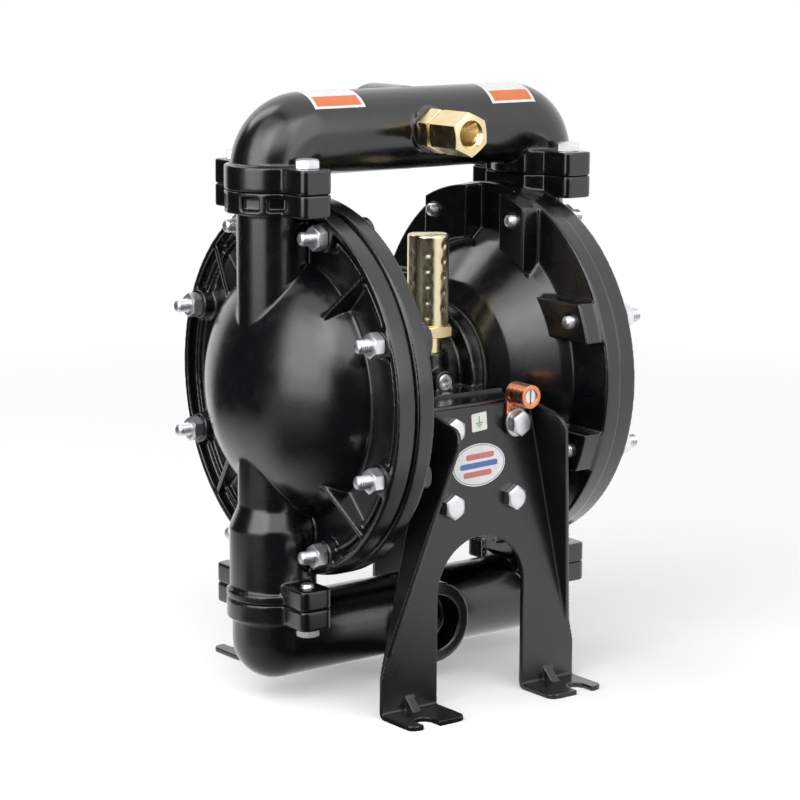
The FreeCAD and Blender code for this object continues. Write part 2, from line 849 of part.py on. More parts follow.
def outlet_manifold():
    run = S.neck_offset - S.outlet_bend
    spring = S.outlet_axis - S.outlet_bend
    flange_top = S.outlet_joint + S.outlet_flange_thickness
    seat_top = S.outlet_joint + S.seat_stand
    pieces = [cylinder(S.tube_radius, 2.0 * run, -run, 0.0, S.outlet_axis, "x")]
    tools = [cylinder(S.port_radius, 2.0 * run, -run, 0.0, S.outlet_axis, "x")]
    posts = []
    for sign, turn in ((1.0, 0.0), (-1.0, 180.0)):
        x = sign * S.neck_offset
        flip = Rotation(Vector(0, 0, 1), turn)
        bend = put(elbow(S.tube_radius, S.outlet_bend), sign * run, 0.0, spring, flip)
        upright = cylinder(S.tube_radius, spring - S.outlet_joint, x, 0.0, S.outlet_joint)
        pieces += [bend, upright]
        flange = ear_flange(S.outlet_joint, flange_top, flange_top)
        holes = ear_holes(S.outlet_joint, flange_top, S.clamp_hole_diameter / 2.0)
        if sign < 0:
            flange = [put(fuse(*flange), turn=flip)]
            holes = [put(fuse(*holes), turn=flip)]
        pieces += flange
        tools += holes
        quarter = Rotation(Vector(1, 0, 0), 90)
        bore = bore_elbow(S.port_radius, S.outlet_bend)
        tools.append(put(bore, sign * run, 0.0, spring, flip * quarter))
        tools.append(cylinder(S.port_radius, spring - seat_top, x, 0.0, seat_top))
        tools.append(cylinder(S.seat_radius, S.seat_stand, x, 0.0, S.outlet_joint))
        stop = seat_top + stop_height()
        post_top = S.outlet_axis + S.port_radius - S.stop_width / 2.0
        posts.append(cylinder(S.stop_width / 2.0, post_top - stop, x, 0.0, stop))
    pieces.append(cylinder(S.port_boss_radius, S.port_boss_face, 0.0, 0.0, S.outlet_axis, "y"))
    pieces.append(cylinder(S.brass_boss_radius, S.brass_start, 0.0, 0.0, S.outlet_axis, "-y"))
    tools += port_bore(S.outlet_axis, "y")
    tools.append(cylinder(S.brass_thread_radius, FAR, 0.0, 0.0, S.outlet_axis, "-y"))
    node("outlet_manifold", fuse(cut(fuse(*pieces), *tools), *posts))


def inlet_manifold():
    run = S.neck_offset
    flange_low = -S.inlet_joint - S.inlet_flange_thickness
    pieces = [cylinder(S.tube_radius, 2.0 * run, -run, 0.0, -S.inlet_axis, "x")]
    tools = [cylinder(S.port_radius, 2.0 * run, -run, 0.0, -S.inlet_axis, "x")]
    for sign, turn in ((1.0, 0.0), (-1.0, 180.0)):
        x = sign * S.neck_offset
        flip = Rotation(Vector(0, 0, 1), turn)
        rise = S.inlet_axis - S.inlet_joint
        pieces.append(sphere(S.tube_radius, x, 0.0, -S.inlet_axis))
        pieces.append(cylinder(S.tube_radius, rise, x, 0.0, -S.inlet_axis))
        flange = ear_flange(flange_low, -S.inlet_joint, -S.inlet_joint)
        holes = ear_holes(flange_low, -S.inlet_joint, S.clamp_hole_diameter / 2.0)
        if sign < 0:
            flange = [put(fuse(*flange), turn=flip)]
            holes = [put(fuse(*holes), turn=flip)]
        pieces += flange
        tools += holes
        pocket = S.seat_height - S.seat_stand + S.seal_height
        tools.append(sphere(S.port_radius, x, 0.0, -S.inlet_axis))
        tools.append(cylinder(S.neck_bore, rise, x, 0.0, -S.inlet_axis))
        tools.append(cylinder(S.seat_radius, pocket, x, 0.0, -S.inlet_joint - pocket))
    pieces.append(cylinder(S.port_boss_radius, S.port_boss_face, 0.0, 0.0, -S.inlet_axis, "-y"))
    tools += port_bore(-S.inlet_axis, "-y")
    step = S.joint_plane - S.tube_step
    for low, high in ((-FAR, -step), (step, FAR)):
        tools.append(box((low, -FAR, -S.inlet_joint), (high, FAR, 0.0)))
    node("inlet_manifold", cut(fuse(*pieces), *tools))


# Seats, their seals and the balls
def check_valves():
    stand = {"outlet": S.outlet_joint + S.seat_stand, "inlet": S.seat_stand - S.inlet_joint}
    for side, turn in SIDES.items():
        for level, top in stand.items():
            low = top - S.seat_height
            ring = cut(
                cylinder(S.seat_radius, S.seat_height, S.neck_offset, 0.0, low),
                cylinder(S.seat_bore, S.seat_height, S.neck_offset, 0.0, low),
            )
            node("%s_%s_seat" % (side, level), ring, turn)
            centre = top + seated_height() + S.seat_gap
            node("%s_%s_ball" % (side, level), ball_at(centre), turn)
    for level, top in stand.items():
        low = top - S.seat_height - S.seal_height
        rings = [
            cut(
                cylinder(S.seat_radius, S.seal_height, sign * S.neck_offset, 0.0, low),
                cylinder(S.seal_inner, S.seal_height, sign * S.neck_offset, 0.0, low),
            )
            for sign in (-1.0, 1.0)
        ]
        node(level + "_seat_seals", group(*rings))


def ball_at(centre):
    """A ball drawn in its place over its seat."""
    room = 2.0 * S.ball_radius
    cage = cylinder(room, 2.0 * room, S.neck_offset, 0.0, centre - room)
    return common(sphere(S.ball_radius, S.neck_offset, 0.0, centre), cage)


# Diaphragm, washers and screws at each end of the rod
def diaphragm(side):
    half = S.diaphragm_thickness / 2.0
    bead = S.bead_thickness / 2.0
    joint = S.joint_plane
    start = S.washer_radius + S.wave_gap
    end = S.wave_outer
    crest = S.wave_height
    wave = [
        (0.0, start),
        (crest * 0.6, start + S.wave_shoulder),
        (crest, (start + end) / 2.0),
        (crest * 0.6, end - S.wave_shoulder),
        (0.0, end),
    ]
    front = [(joint + half + rise, radius) for rise, radius in wave]
    back = [(joint - half + rise, radius) for rise, radius in reversed(wave)]
    outline = [(joint + half, S.centre_screw_radius)] + front
    outline += [
        (joint + half, S.bead_inner),
        (joint + bead, S.bead_inner),
        (joint + bead, S.bead_outer),
        (joint - bead, S.bead_outer),
        (joint - bead, S.bead_inner),
        (joint - half, S.bead_inner),
    ]
    outline += back + [(joint - half, S.centre_screw_radius)]
    node(side + "_diaphragm", turned("Diaphragm", outline), SIDES[side])


def washers(side):
    half = S.diaphragm_thickness / 2.0
    inner_face = S.joint_plane - half
    outer_face = S.joint_plane + half
    seat = inner_face - S.inner_washer_thickness
    bore = S.centre_screw_radius
    rim = S.washer_radius
    inner = turned(
        "InnerWasher",
        [
            (seat, bore),
            (seat, S.inner_washer_hub),
            (inner_face - S.washer_rim, rim),
            (inner_face, rim),
            (inner_face, bore),
        ],
    )
    node(side + "_inner_washer", inner, SIDES[side])
    crown = outer_face + S.outer_washer_thickness
    outer = turned(
        "OuterWasher",
        [
            (outer_face, bore),
            (outer_face, rim),
            (outer_face + S.washer_rim, rim),
            (crown - S.washer_rim, S.outer_washer_shoulder),
            (crown, S.outer_washer_crown),
            (crown, bore),
        ],
    )
    node(side + "_outer_washer", outer, SIDES[side])
    head = hexagon(S.centre_screw_flats, S.centre_screw_head, crown, along="x")
    shank_start = S.rod_half_length - S.centre_screw_depth
    shank = cylinder(bore, crown - shank_start, shank_start, along="x")
    node(side + "_diaphragm_screw", fuse(head, shank), SIDES[side])


def rods():
    half = S.rod_half_length
    rod = turned(
        "Rod",
        [
            (half - S.centre_screw_depth, 0.0),
            (half - S.centre_screw_depth, S.centre_screw_radius),
            (half, S.centre_screw_radius),
            (half, S.rod_radius - 1.0),
            (half - 1.0, S.rod_radius),
            (1.0 - half, S.rod_radius),
            (-half, S.rod_radius - 1.0),
            (-half, S.centre_screw_radius),
            (S.centre_screw_depth - half, S.centre_screw_radius),
            (S.centre_screw_depth - half, 0.0),
        ],
    )
    node("diaphragm_rod", rod)
    pilot = cylinder(
        S.pilot_radius, 2.0 * S.pilot_half_length, -S.pilot_half_length, 0.0, S.pilot_height, "x"
    )
    node("pilot_rod", fuse(pilot, collar()))
    running = S.rod_radius + S.rod_clearance
    bushing_start = S.centre_half_width - S.bushing_length
    node("rod_bushings", ring_pair(running, S.bushing_radius, bushing_start, S.bushing_length))
    seal_start = bushing_start - S.rod_seal_length
    node("rod_seals", ring_pair(running, S.bushing_radius, seal_start, S.rod_seal_length))
    pilot_start = S.centre_half_width - S.pilot_bushing_length
    guides = ring_pair(
        S.pilot_radius + S.rod_clearance,
        S.pilot_bushing_radius,
        pilot_start,
        S.pilot_bushing_length,
        S.pilot_height,
    )
    node("pilot_bushings", guides)


def collar():
    """The middle collar that lets the pilot rod be held in its bore."""
    length = S.pilot_collar_length
    return cylinder(S.pilot_collar_radius, length, -length / 2.0, 0.0, S.pilot_height, "x")


def ring_pair(inner, outer, start, length, height=0.0):
    rings = []
    for along, x in (("x", start), ("-x", -start)):
        rings.append(
            cut(
                cylinder(outer, length, x, 0.0, height, along),
                cylinder(inner, length, x, 0.0, height, along),
            )
        )
    return group(*rings)


# Centre body
def centre_body():
    half = S.centre_half_width
    flange_depth = half - S.centre_flange_start
    barrel = cylinder(S.barrel_radius, 2.0 * half, -half, along="x")
    flanges = [
        cylinder(S.centre_flange_radius, flange_depth, x, along="x")
        for x in (-half, S.centre_flange_start)
    ]
    block = box((-half, -S.block_front, -S.block_bottom), (half, S.block_front, -S.block_top))
    rear_pad = box(
        (-S.pad_half_span, S.block_front, -S.block_bottom),
        (S.pad_half_span, S.valve_face, -S.block_top),
    )
    tower = cylinder(S.tower_radius, S.tower_top + S.block_top, 0.0, -S.tower_offset, -S.block_top)
    plug_boss = cylinder(S.plug_boss_radius, S.plug_face, along="-y")
    port_boss = cylinder(S.air_port_boss, S.plug_face, 0.0, 0.0, S.air_port_height, "y")
    solids = [barrel, block, rear_pad, tower, plug_boss, port_boss] + flanges

    tools = [cylinder(S.rod_radius + S.rod_bore_gap, 2.0 * half, -half, along="x")]
    pocket = S.bushing_length + S.rod_seal_length
    guide = S.pilot_bushing_length
    for along, sign in (("x", 1.0), ("-x", -1.0)):
        x = sign * (half - pocket)
        tools.append(cylinder(S.bushing_radius, pocket, x, along=along))
        x = sign * (half - guide)
        tools.append(cylinder(S.pilot_bushing_radius, guide, x, 0.0, S.pilot_height, along))
        for angle in screw_angles():
            y, z = around(angle, S.air_screw_circle)
            x = sign * (S.hub_face + S.hub_wall - S.air_screw_length)
            tools.append(cylinder(S.air_screw_radius, FAR, x, y, z, along))
    loose = S.pilot_radius + S.pilot_bore_gap
    tools.append(cylinder(loose, 2.0 * half, -half, 0.0, S.pilot_height, "x"))
    tower_depth = S.tower_top + S.spool_height
    tools.append(cylinder(S.tower_bore, tower_depth, 0.0, -S.tower_offset, -S.spool_height))
    tools.append(
        cylinder(S.tower_bore, FAR, 0.0, -S.tower_offset, -S.spool_height, "-y")
    )
    tools.append(cylinder(S.plug_radius, FAR, 0.0, -S.tower_offset, 0.0, "-y"))
    seat_radius = S.muffler_stem_radius + S.spanner_room
    tools.append(cylinder(seat_radius, FAR, 0.0, -S.tower_offset, S.tower_top))
    seat_radius = S.muffler_hex_flats / math.sqrt(3.0) + S.spanner_room
    start = S.muffler_hex_bottom - S.spanner_room
    tools.append(cylinder(seat_radius, FAR, 0.0, -S.tower_offset, start))
    tools.append(cylinder(S.air_port_bore, FAR, 0.0, S.air_port_start, S.air_port_height, "y"))
    for x in (-S.bracket_bolt_span, S.bracket_bolt_span):
        for z in (-S.bracket_bolt_high, -S.bracket_bolt_low):
            radius = S.bracket_bolt_diameter / 2.0
            reach = S.bracket_bolt_length
            for along, sign in (("y", 1.0), ("-y", -1.0)):
                y = sign * (S.valve_face + S.sheet - reach)
                tools.append(cylinder(radius, FAR, x, y, z, along))
    node("centre_body", cut(fuse(*solids), *tools))


def valve():
    face = S.block_front + S.gasket_thickness
    span = S.pad_half_span
    low = -S.block_bottom
    high = -S.block_top - S.gasket_thickness
    screw = S.bracket_bolt_diameter / 2.0
    port = cylinder(S.tower_bore, S.spool_offset, 0.0, 0.0, -S.spool_height, "-y")
    holes = [
        cylinder(screw, FAR, x, 0.0, z, "-y")
        for x in (-S.bracket_bolt_span, S.bracket_bolt_span)
        for z in (-S.bracket_bolt_high, -S.bracket_bolt_low)
    ]
    gasket = box((-span, -face, low), (span, -S.block_front, -S.block_top))
    node("valve_gasket", cut(gasket, port, *holes))
    running = S.spool_radius + S.spool_bore_gap
    spool_bore = cylinder(running, 2.0 * FAR, -FAR, -S.spool_offset, -S.spool_height, "x")
    port = cylinder(S.tower_bore, S.spool_offset, 0.0, 0.0, -S.spool_height, "-y")
    holes = [
        cylinder(screw, FAR, x, 0.0, z, "-y")
        for x in (-S.bracket_bolt_span, S.bracket_bolt_span)
        for z in (-S.bracket_bolt_high, -S.bracket_bolt_low)
    ]
    screw_holes = valve_screws(S.valve_screw_radius)
    block = box((-span, -S.valve_face, low), (span, -face, high))
    node("valve_block", cut(block, spool_bore, port, *holes, *screw_holes))
    half = S.valve_cap_half
    outer = span + S.valve_cap_thickness
    for name, start, end in (("right", span, outer), ("left", -outer, -span)):
        plate = box(
            (start, -S.valve_face, -S.spool_height - half),
            (end, -face, -S.spool_height + half),
        )
        node(name + "_valve_cap", cut(plate, *valve_screws(S.valve_screw_radius)))
    screws = []
    length = S.valve_screw_length
    for sign, along in ((1.0, "x"), (-1.0, "-x")):
        for dz in (-1.0, 1.0):
            z = -S.spool_height + dz * S.valve_screw_spread
            at = (-S.spool_offset, z, along)
            head = cylinder(2.0 * S.valve_screw_radius, S.valve_screw_head, sign * outer, *at)
            shank = cylinder(S.valve_screw_radius, length, sign * (outer - length), *at)
            screws.append(fuse(head, shank))
    node("valve_cap_screws", group(*screws))
    lands = []
    for x in (-S.spool_half_length, -S.spool_land / 2.0, S.spool_half_length - S.spool_land):
        lands.append(
            cylinder(S.spool_radius, S.spool_land, x, -S.spool_offset, -S.spool_height, "x")
        )
    half = S.spool_half_length
    core = cylinder(S.spool_neck, 2.0 * half, -half, -S.spool_offset, -S.spool_height, "x")
    groove = []
    seals = []
    for x in (-S.spool_half_length, -S.spool_land / 2.0, S.spool_half_length - S.spool_land):
        width = S.spool_seal_width
        at = (x + (S.spool_land - width) / 2.0, -S.spool_offset, -S.spool_height, "x")
        inner = S.spool_radius - S.spool_seal_depth
        groove.append(cut(cylinder(FAR, width, *at), cylinder(inner, width, *at)))
        outer = S.spool_radius + S.spool_bore_gap - S.rod_clearance
        seals.append(cut(cylinder(outer, width, *at), cylinder(inner, width, *at)))
    node("valve_spool", cut(fuse(core, *lands), *groove))
    node("spool_seals", group(*seals))


def valve_screws(radius):
    shafts = []
    for sign, along in ((1.0, "x"), (-1.0, "-x")):
        x = sign * (S.pad_half_span + S.valve_cap_thickness - S.valve_screw_length)
        for dz in (-1.0, 1.0):
            z = -S.spool_height + dz * S.valve_screw_spread
            shafts.append(cylinder(radius, FAR, x, -S.spool_offset, z, along))
    return shafts


def air_cap_fixings():
    gaskets = []
    screws = []
    for sign, along in ((1.0, "x"), (-1.0, "-x")):
        face = sign * S.centre_half_width
        thickness = S.hub_face - S.centre_half_width
        disc = cylinder(S.centre_flange_radius, thickness, face, along=along)
        holes = [cylinder(S.hub_bore, FAR, 0.0, along=along)]
        loose = S.pilot_radius + S.pilot_hole_gap
        holes.append(cylinder(loose, FAR, 0.0, 0.0, S.pilot_height, along))
        seat = sign * (S.hub_face + S.hub_wall)
        for angle in screw_angles():
            y, z = around(angle, S.air_screw_circle)
            holes.append(cylinder(S.air_screw_radius, FAR, 0.0, y, z, along))
            x = seat - sign * S.air_screw_length
            shank = cylinder(S.air_screw_radius, S.air_screw_length, x, y, z, along)
            head = cylinder(S.air_screw_head, 2.0 * S.air_screw_radius, seat, y, z, along)
            screws.append(fuse(shank, head))
        gaskets.append(cut(disc, *holes))
    node("air_cap_gaskets", group(*gaskets))
    node("air_cap_screws", group(*screws))


# Fasteners
def clamp_fasteners(side):
    bolts = []
    nuts = []
    radius = S.clamp_bolt_diameter / 2.0
    pad = S.pad_face if side == "right" else S.left_pad_face
    tail = pad - S.clamp_bolt_stand
    length = S.clamp_bolt_tip - tail
    for angle in bolt_angles():
        y, z = around(angle, S.bolt_circle)
        bolts.append(cylinder(radius, length, tail, y, z, "x"))
        nut = hexagon(S.nut_flats, S.nut_height, S.boss_front, y, z, "x")
        nuts.append(cut(nut, cylinder(radius, S.nut_height, S.boss_front, y, z, "x")))
    node(side + "_clamp_bolts", group(*bolts), SIDES[side])
    node(side + "_clamp_nuts", group(*nuts), SIDES[side])


def manifold_fasteners():
    radius = S.clamp_bolt_diameter / 2.0
    outlet, inlet = [], []
    outlet_top = S.outlet_joint + S.outlet_flange_thickness
    outlet_length = S.outlet_flange_thickness + S.cap_flange_thickness
    inlet_low = -S.inlet_joint - S.inlet_flange_thickness
    tip = S.inlet_flange_thickness - S.inlet_joint + S.inlet_bolt_stand
    for x in (-S.neck_offset, S.neck_offset):
        for y in (-S.ear_bolt_spacing, S.ear_bolt_spacing):
            head = hexagon(S.nut_flats, S.bolt_head, x, y, outlet_top)
            shank = cylinder(radius, outlet_length, x, y, outlet_top - outlet_length)
            outlet.append(fuse(head, shank))
            head = hexagon(S.nut_flats, S.bolt_head, x, y, inlet_low, "-z")
            shank = cylinder(radius, tip - inlet_low, x, y, inlet_low)
            inlet.append(fuse(head, shank))
    node("outlet_manifold_bolts", group(*outlet))
    node("inlet_manifold_bolts", group(*inlet))


def bracket_bolt(x, z, side, stand=0.0):
    """A hex bolt through the bracket; side is -1 at the front and 1 at the rear."""
    along = "y" if side > 0 else "-y"
    seat = S.valve_face + S.sheet + stand
    head = hexagon(S.nut_flats, S.bolt_head, x, side * seat, z, along)
    length = S.bracket_bolt_length + stand
    shank = cylinder(S.bracket_bolt_diameter / 2.0, length, x, side * (seat - length), z, along)
    return fuse(head, shank)


def bracket_fasteners():
    spots = [
        (x, z)
        for x in (-S.bracket_bolt_span, S.bracket_bolt_span)
        for z in (-S.bracket_bolt_high, -S.bracket_bolt_low)
    ]
    lug_spot = spots[2]
    front = [bracket_bolt(x, z, -1.0) for x, z in spots if (x, z) != lug_spot]
    node("front_bracket_bolts", group(*front))
    node("rear_bracket_bolts", group(*[bracket_bolt(x, z, 1.0) for x, z in spots]))
    stand = S.lug_thickness + S.lug_washer
    node("lug_bolt", bracket_bolt(lug_spot[0], lug_spot[1], -1.0, stand))
    at = (lug_spot[0], -S.lug_face - S.lug_thickness, lug_spot[1], "-y")
    washer = cut(
        cylinder(S.nut_flats * 0.65, S.lug_washer, *at),
        cylinder(S.bracket_bolt_diameter / 2.0, S.lug_washer, *at),
    )
    node("lug_washer", washer)


# Brackets
def bracket(name, turn):
    """A folded sheet: plate, two legs with an arch between them, two wings and two feet."""
    floor = S.rod_height
    plate = slab(
        [
            (-S.plate_top_half, -S.plate_top),
            (-S.leg_outer, -S.fold_end),
            (-S.leg_outer, -floor),
            (S.leg_outer, -floor),
            (S.leg_outer, -S.fold_end),
            (S.plate_top_half, -S.plate_top),
        ],
        "XZ_Plane",
        S.valve_face,
        S.sheet,
    )
    arch_centre = -S.arch_top - S.leg_inner
    tools = [
        cylinder(S.leg_inner, FAR, 0.0, 0.0, arch_centre, "-y"),
        box((-S.leg_inner, -FAR, -floor - 1.0), (S.leg_inner, 0.0, arch_centre)),
    ]
    solids = [plate]
    for side in (-1.0, 1.0):
        solids.append(wing(side))
        low, high = sorted((side * S.leg_inner, side * S.leg_outer), key=float)
        foot = box((low, -S.foot_reach, -floor), (high, -S.valve_face, S.sheet - floor))
        upright = Vector(0, 0, 1)
        front = S.foot_reach - 0.01
        solids.append(
            rounded(
                foot,
                S.foot_corner,
                lambda edge: runs_along(edge, upright) and edge.CenterOfMass.y < -float(front),
            )
        )
        slot_end = -S.foot_reach + S.slot_depth
        half = S.slot_width / 2.0
        x = side * S.slot_offset
        tools.append(cylinder(half, FAR, x, slot_end - half, -floor - 1.0))
        tools.append(
            box((x - half, -FAR, -floor - 1.0), (x + half, slot_end - half, S.sheet + 1.0 - floor))
        )
        middle = side * (S.leg_inner + S.leg_outer) / 2.0
        solids.append(gusset(middle))
    for x in (-S.bracket_bolt_span, S.bracket_bolt_span):
        for z in (-S.bracket_bolt_high, -S.bracket_bolt_low):
            tools.append(cylinder(S.bracket_bolt_diameter / 2.0, FAR, x, 0.0, z, "-y"))
    whole = cut(fuse(*solids), *tools)
    inner = -float(S.valve_face)
    under = -float(floor)

    def heel(edge):
        middle = edge.CenterOfMass
        return (
            runs_along(edge, Vector(1, 0, 0))
            and abs(middle.y - inner) < 0.01
            and abs(middle.z - under) < 0.01
        )

    node(name, rounded(whole, S.bend_radius, heel), turn)


def gusset(x):
    """The small stamped web across the bend of a foot."""
    web = doc.addObject("Part::Wedge", "Gusset")
    half = S.sheet
    for prop, amount in (
        ("Xmin", -half),
        ("Xmax", half),
        ("X2min", -half),
        ("X2max", half),
        ("Ymin", 0.0),
        ("Ymax", S.gusset + S.sheet),
        ("Zmin", 0.0),
        ("Zmax", S.gusset + S.sheet),
        ("Z2min", 0.0),
        ("Z2max", 0.5),
    ):
        bind(web, prop, amount)
    outer = S.valve_face + S.sheet / 2.0
    return put(web, x, -outer, S.sheet / 2.0 - S.rod_height, Rotation(Vector(0, 0, 1), 180))


def wing(side):
    """The upper corner of the blank, folded forward along the slanting edge of the plate."""
    across = S.leg_outer - S.plate_top_half
    drop = S.fold_end - S.plate_top
    length = root(across * across + drop * drop)
    corner_down = across * across / length
    corner_out = across * drop / length
    fan = math.atan2(float(across), float(drop))
    down = Vector(math.sin(fan) * side, 0, -math.cos(fan))
    forward = Vector(0, -1, 0)
    body = slab(
        [(0.0, 0.0), (corner_down, corner_out), (length, 0.0)],
        "XY_Plane",
        0.0,
        S.sheet,
    )
    pad = body.Tip
    pad.Reversed = side < 0
    frame = Rotation(down, forward, down.cross(forward), "XYZ")
    x = side * S.plate_top_half
    placed = put(body, x, -S.valve_face, -S.plate_top, frame)
    lip = down.cross(forward)
    doc.recompute()

    def tip(edge):
        middle = edge.CenterOfMass
        return runs_along(edge, lip) and middle.y < -float(S.valve_face) - float(corner_out) + 0.1

    return rounded(placed, S.wing_corner, tip)


# Ground lug
def ground_lug():
    x, z = S.bracket_bolt_span, -S.bracket_bolt_high
    face = -S.lug_face
    half = S.lug_half_width
    tongue = box((x - half, face - S.lug_thickness, z), (x + half, face, z + S.lug_rise))
    foot = cylinder(half, S.lug_thickness, x, face, z, "-y")
    barrel_z = z + S.lug_rise
    barrel = cylinder(S.lug_barrel_radius, S.lug_barrel_length, x, face, barrel_z, "-y")
    bolt_hole = cylinder(S.bracket_bolt_diameter / 2.0, FAR, x, 0.0, z, "-y")
    screw_depth = S.lug_barrel_length - S.lug_floor
    screw_start = face - S.lug_barrel_length + screw_depth
    screw_hole = cylinder(S.lug_screw_radius, FAR, x, screw_start, barrel_z, "-y")
    wire_hole = cylinder(
        S.lug_wire_radius, FAR, x - FAR / 2.0, face - S.lug_wire_height, barrel_z, "x"
    )
    node("ground_lug", cut(fuse(tongue, foot, barrel), bolt_hole, screw_hole, wire_hole))
    screw_end = face - S.lug_barrel_length + 1.0
    screw = cylinder(
        S.lug_screw_radius, S.lug_screw_length, x, screw_end + S.lug_screw_length, barrel_z, "-y"
    )
    slot = box(
        (x - S.lug_slot_half, screw_end - FAR, barrel_z - FAR),
        (x + S.lug_slot_half, screw_end + S.lug_slot_depth, barrel_z + FAR),
    )
    node("lug_screw", cut(screw, slot))


# Muffler on the exhaust tower, and the plug in the tower
def muffler():
    y = -S.tower_offset
    base_low = S.tower_top
    hexagonal = hexagon(
        S.muffler_hex_flats, S.muffler_bottom - S.muffler_hex_bottom, 0.0, y, S.muffler_hex_bottom
    )
    stem = cylinder(S.muffler_stem_radius, S.muffler_hex_bottom - base_low, 0.0, y, base_low)
    thread_low = base_low - S.muffler_thread
    spigot = cylinder(S.tower_bore, S.muffler_thread, 0.0, y, thread_low)
    bore = cylinder(S.tower_bore - S.muffler_thread_wall, FAR, 0.0, y, thread_low)
    node("muffler_base", cut(fuse(hexagonal, stem, spigot), bore))
    length = S.muffler_top - S.muffler_bottom
    shell = cut(
        cylinder(S.muffler_radius, length, 0.0, y, S.muffler_bottom),
        cylinder(
            S.muffler_radius - S.muffler_wall, length - S.muffler_wall, 0.0, y, S.muffler_bottom
        ),
    )
    node("muffler_shell", shell)
    plug_end = -S.plug_face - S.plug_stand
    depth = S.plug_socket_depth
    plug = cylinder(S.plug_radius, S.plug_length, 0.0, plug_end + S.plug_length, 0.0, "-y")
    socket = hexagon(S.plug_radius, depth, 0.0, plug_end + depth, 0.0, "-y")
    node("tower_plug", cut(plug, socket))


# Brass fitting in the outlet manifold
def brass_fitting():
    z = S.outlet_axis
    nipple_face = S.brass_joint - S.brass_groove
    nipple = brass_hexagon(S.brass_start, nipple_face)
    thread_start = S.port_radius + 1.0
    thread = cylinder(
        S.brass_thread_radius, S.brass_joint - thread_start, 0.0, -thread_start, z, "-y"
    )
    bore = cylinder(S.brass_nipple_bore, FAR, 0.0, 0.0, z, "-y")
    node("brass_nipple", cut(fuse(nipple, thread), bore))
    coupling = brass_hexagon(S.brass_joint, S.brass_face)
    bore = cylinder(S.brass_thread_bore, FAR, 0.0, 0.0, z, "-y")
    node("brass_coupling", cut(coupling, bore))


def brass_hexagon(start, end):
    """A hexagon on the axis of the fitting, turned as it was left when it was tightened."""
    thing = hexagon(S.brass_flats, end - start, 0.0, -start, S.outlet_axis, "-y")
    tightened = Rotation(Vector(0, 0, 1), float(S.brass_turn))
    return put(thing, 0.0, -start, S.outlet_axis, ALONG["-y"] * tightened)


for side in SIDES:
    fluid_cap(side)
    air_cap(side)
    diaphragm(side)
    washers(side)
    clamp_fasteners(side)
outlet_manifold()
inlet_manifold()
check_valves()
rods()
centre_body()
valve()
air_cap_fixings()
manifold_fasteners()
bracket_fasteners()
bracket("front_bracket", 0.0)
bracket("rear_bracket", 180.0)
ground_lug()
muffler()
brass_fitting()
doc.recompute()

broken = [thing.Label for thing in doc.Objects if "Invalid" in thing.State or "Error" in thing.State]
if broken:
    raise RuntimeError("failed objects: " + ", ".join(broken))
for piece in nodes:
    if piece.Shape.isNull() or not piece.Shape.isValid() or not piece.Shape.Solids:
        raise RuntimeError("bad shape: " + piece.Label)
for piece in nodes:
    piece.Shape.exportStep("parts/%s.step" % piece.Label)
print("%d nodes" % len(nodes))
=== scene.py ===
"""The looks of an air operated diaphragm pump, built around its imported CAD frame."""
import math

import bmesh
import bpy
import numpy as np
from mathutils import Matrix, Vector
from mathutils.bvhtree import BVHTree


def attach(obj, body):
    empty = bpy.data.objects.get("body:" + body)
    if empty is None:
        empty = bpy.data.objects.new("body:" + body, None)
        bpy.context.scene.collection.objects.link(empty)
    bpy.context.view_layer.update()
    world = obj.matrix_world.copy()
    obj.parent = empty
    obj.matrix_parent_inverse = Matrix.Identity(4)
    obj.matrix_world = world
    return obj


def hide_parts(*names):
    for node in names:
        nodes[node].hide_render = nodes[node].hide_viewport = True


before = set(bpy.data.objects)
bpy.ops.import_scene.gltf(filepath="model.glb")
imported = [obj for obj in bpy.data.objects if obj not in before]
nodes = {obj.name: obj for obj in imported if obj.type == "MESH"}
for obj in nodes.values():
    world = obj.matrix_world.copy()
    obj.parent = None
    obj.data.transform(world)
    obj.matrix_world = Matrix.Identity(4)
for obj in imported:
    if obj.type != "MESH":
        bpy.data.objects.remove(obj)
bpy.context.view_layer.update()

# Numbers are millimetres until they are multiplied by MM
MM = 0.001
ROD_HEIGHT = 185.3
UP, DOWN, FRONT, REAR, RIGHT = (0, 0, 1), (0, 0, -1), (0, -1, 0), (0, 1, 0), (1, 0, 0)


# Camera, solved from the photograph
FOCAL_PIXELS = 2609.15
PHOTO_WIDTH = 800
CAMERA_AZIMUTH = math.radians(-37.12)
CAMERA_ELEVATION = math.radians(10.675)
CAMERA_ROLL = math.radians(0.325)
CAMERA_DISTANCE = 1580.69 * MM
CAMERA_TARGET = Vector((0, 4.53, ROD_HEIGHT - 17.18)) * MM
SENSOR_WIDTH = 36
CLIP_START, CLIP_END = 0.1, 20


def direction_of(azimuth, elevation):
    """The way out from the object at that azimuth, from the front towards +X, and elevation, in radians."""
    level = math.cos(elevation)
    return Vector((math.sin(azimuth) * level, -math.cos(azimuth) * level, math.sin(elevation)))


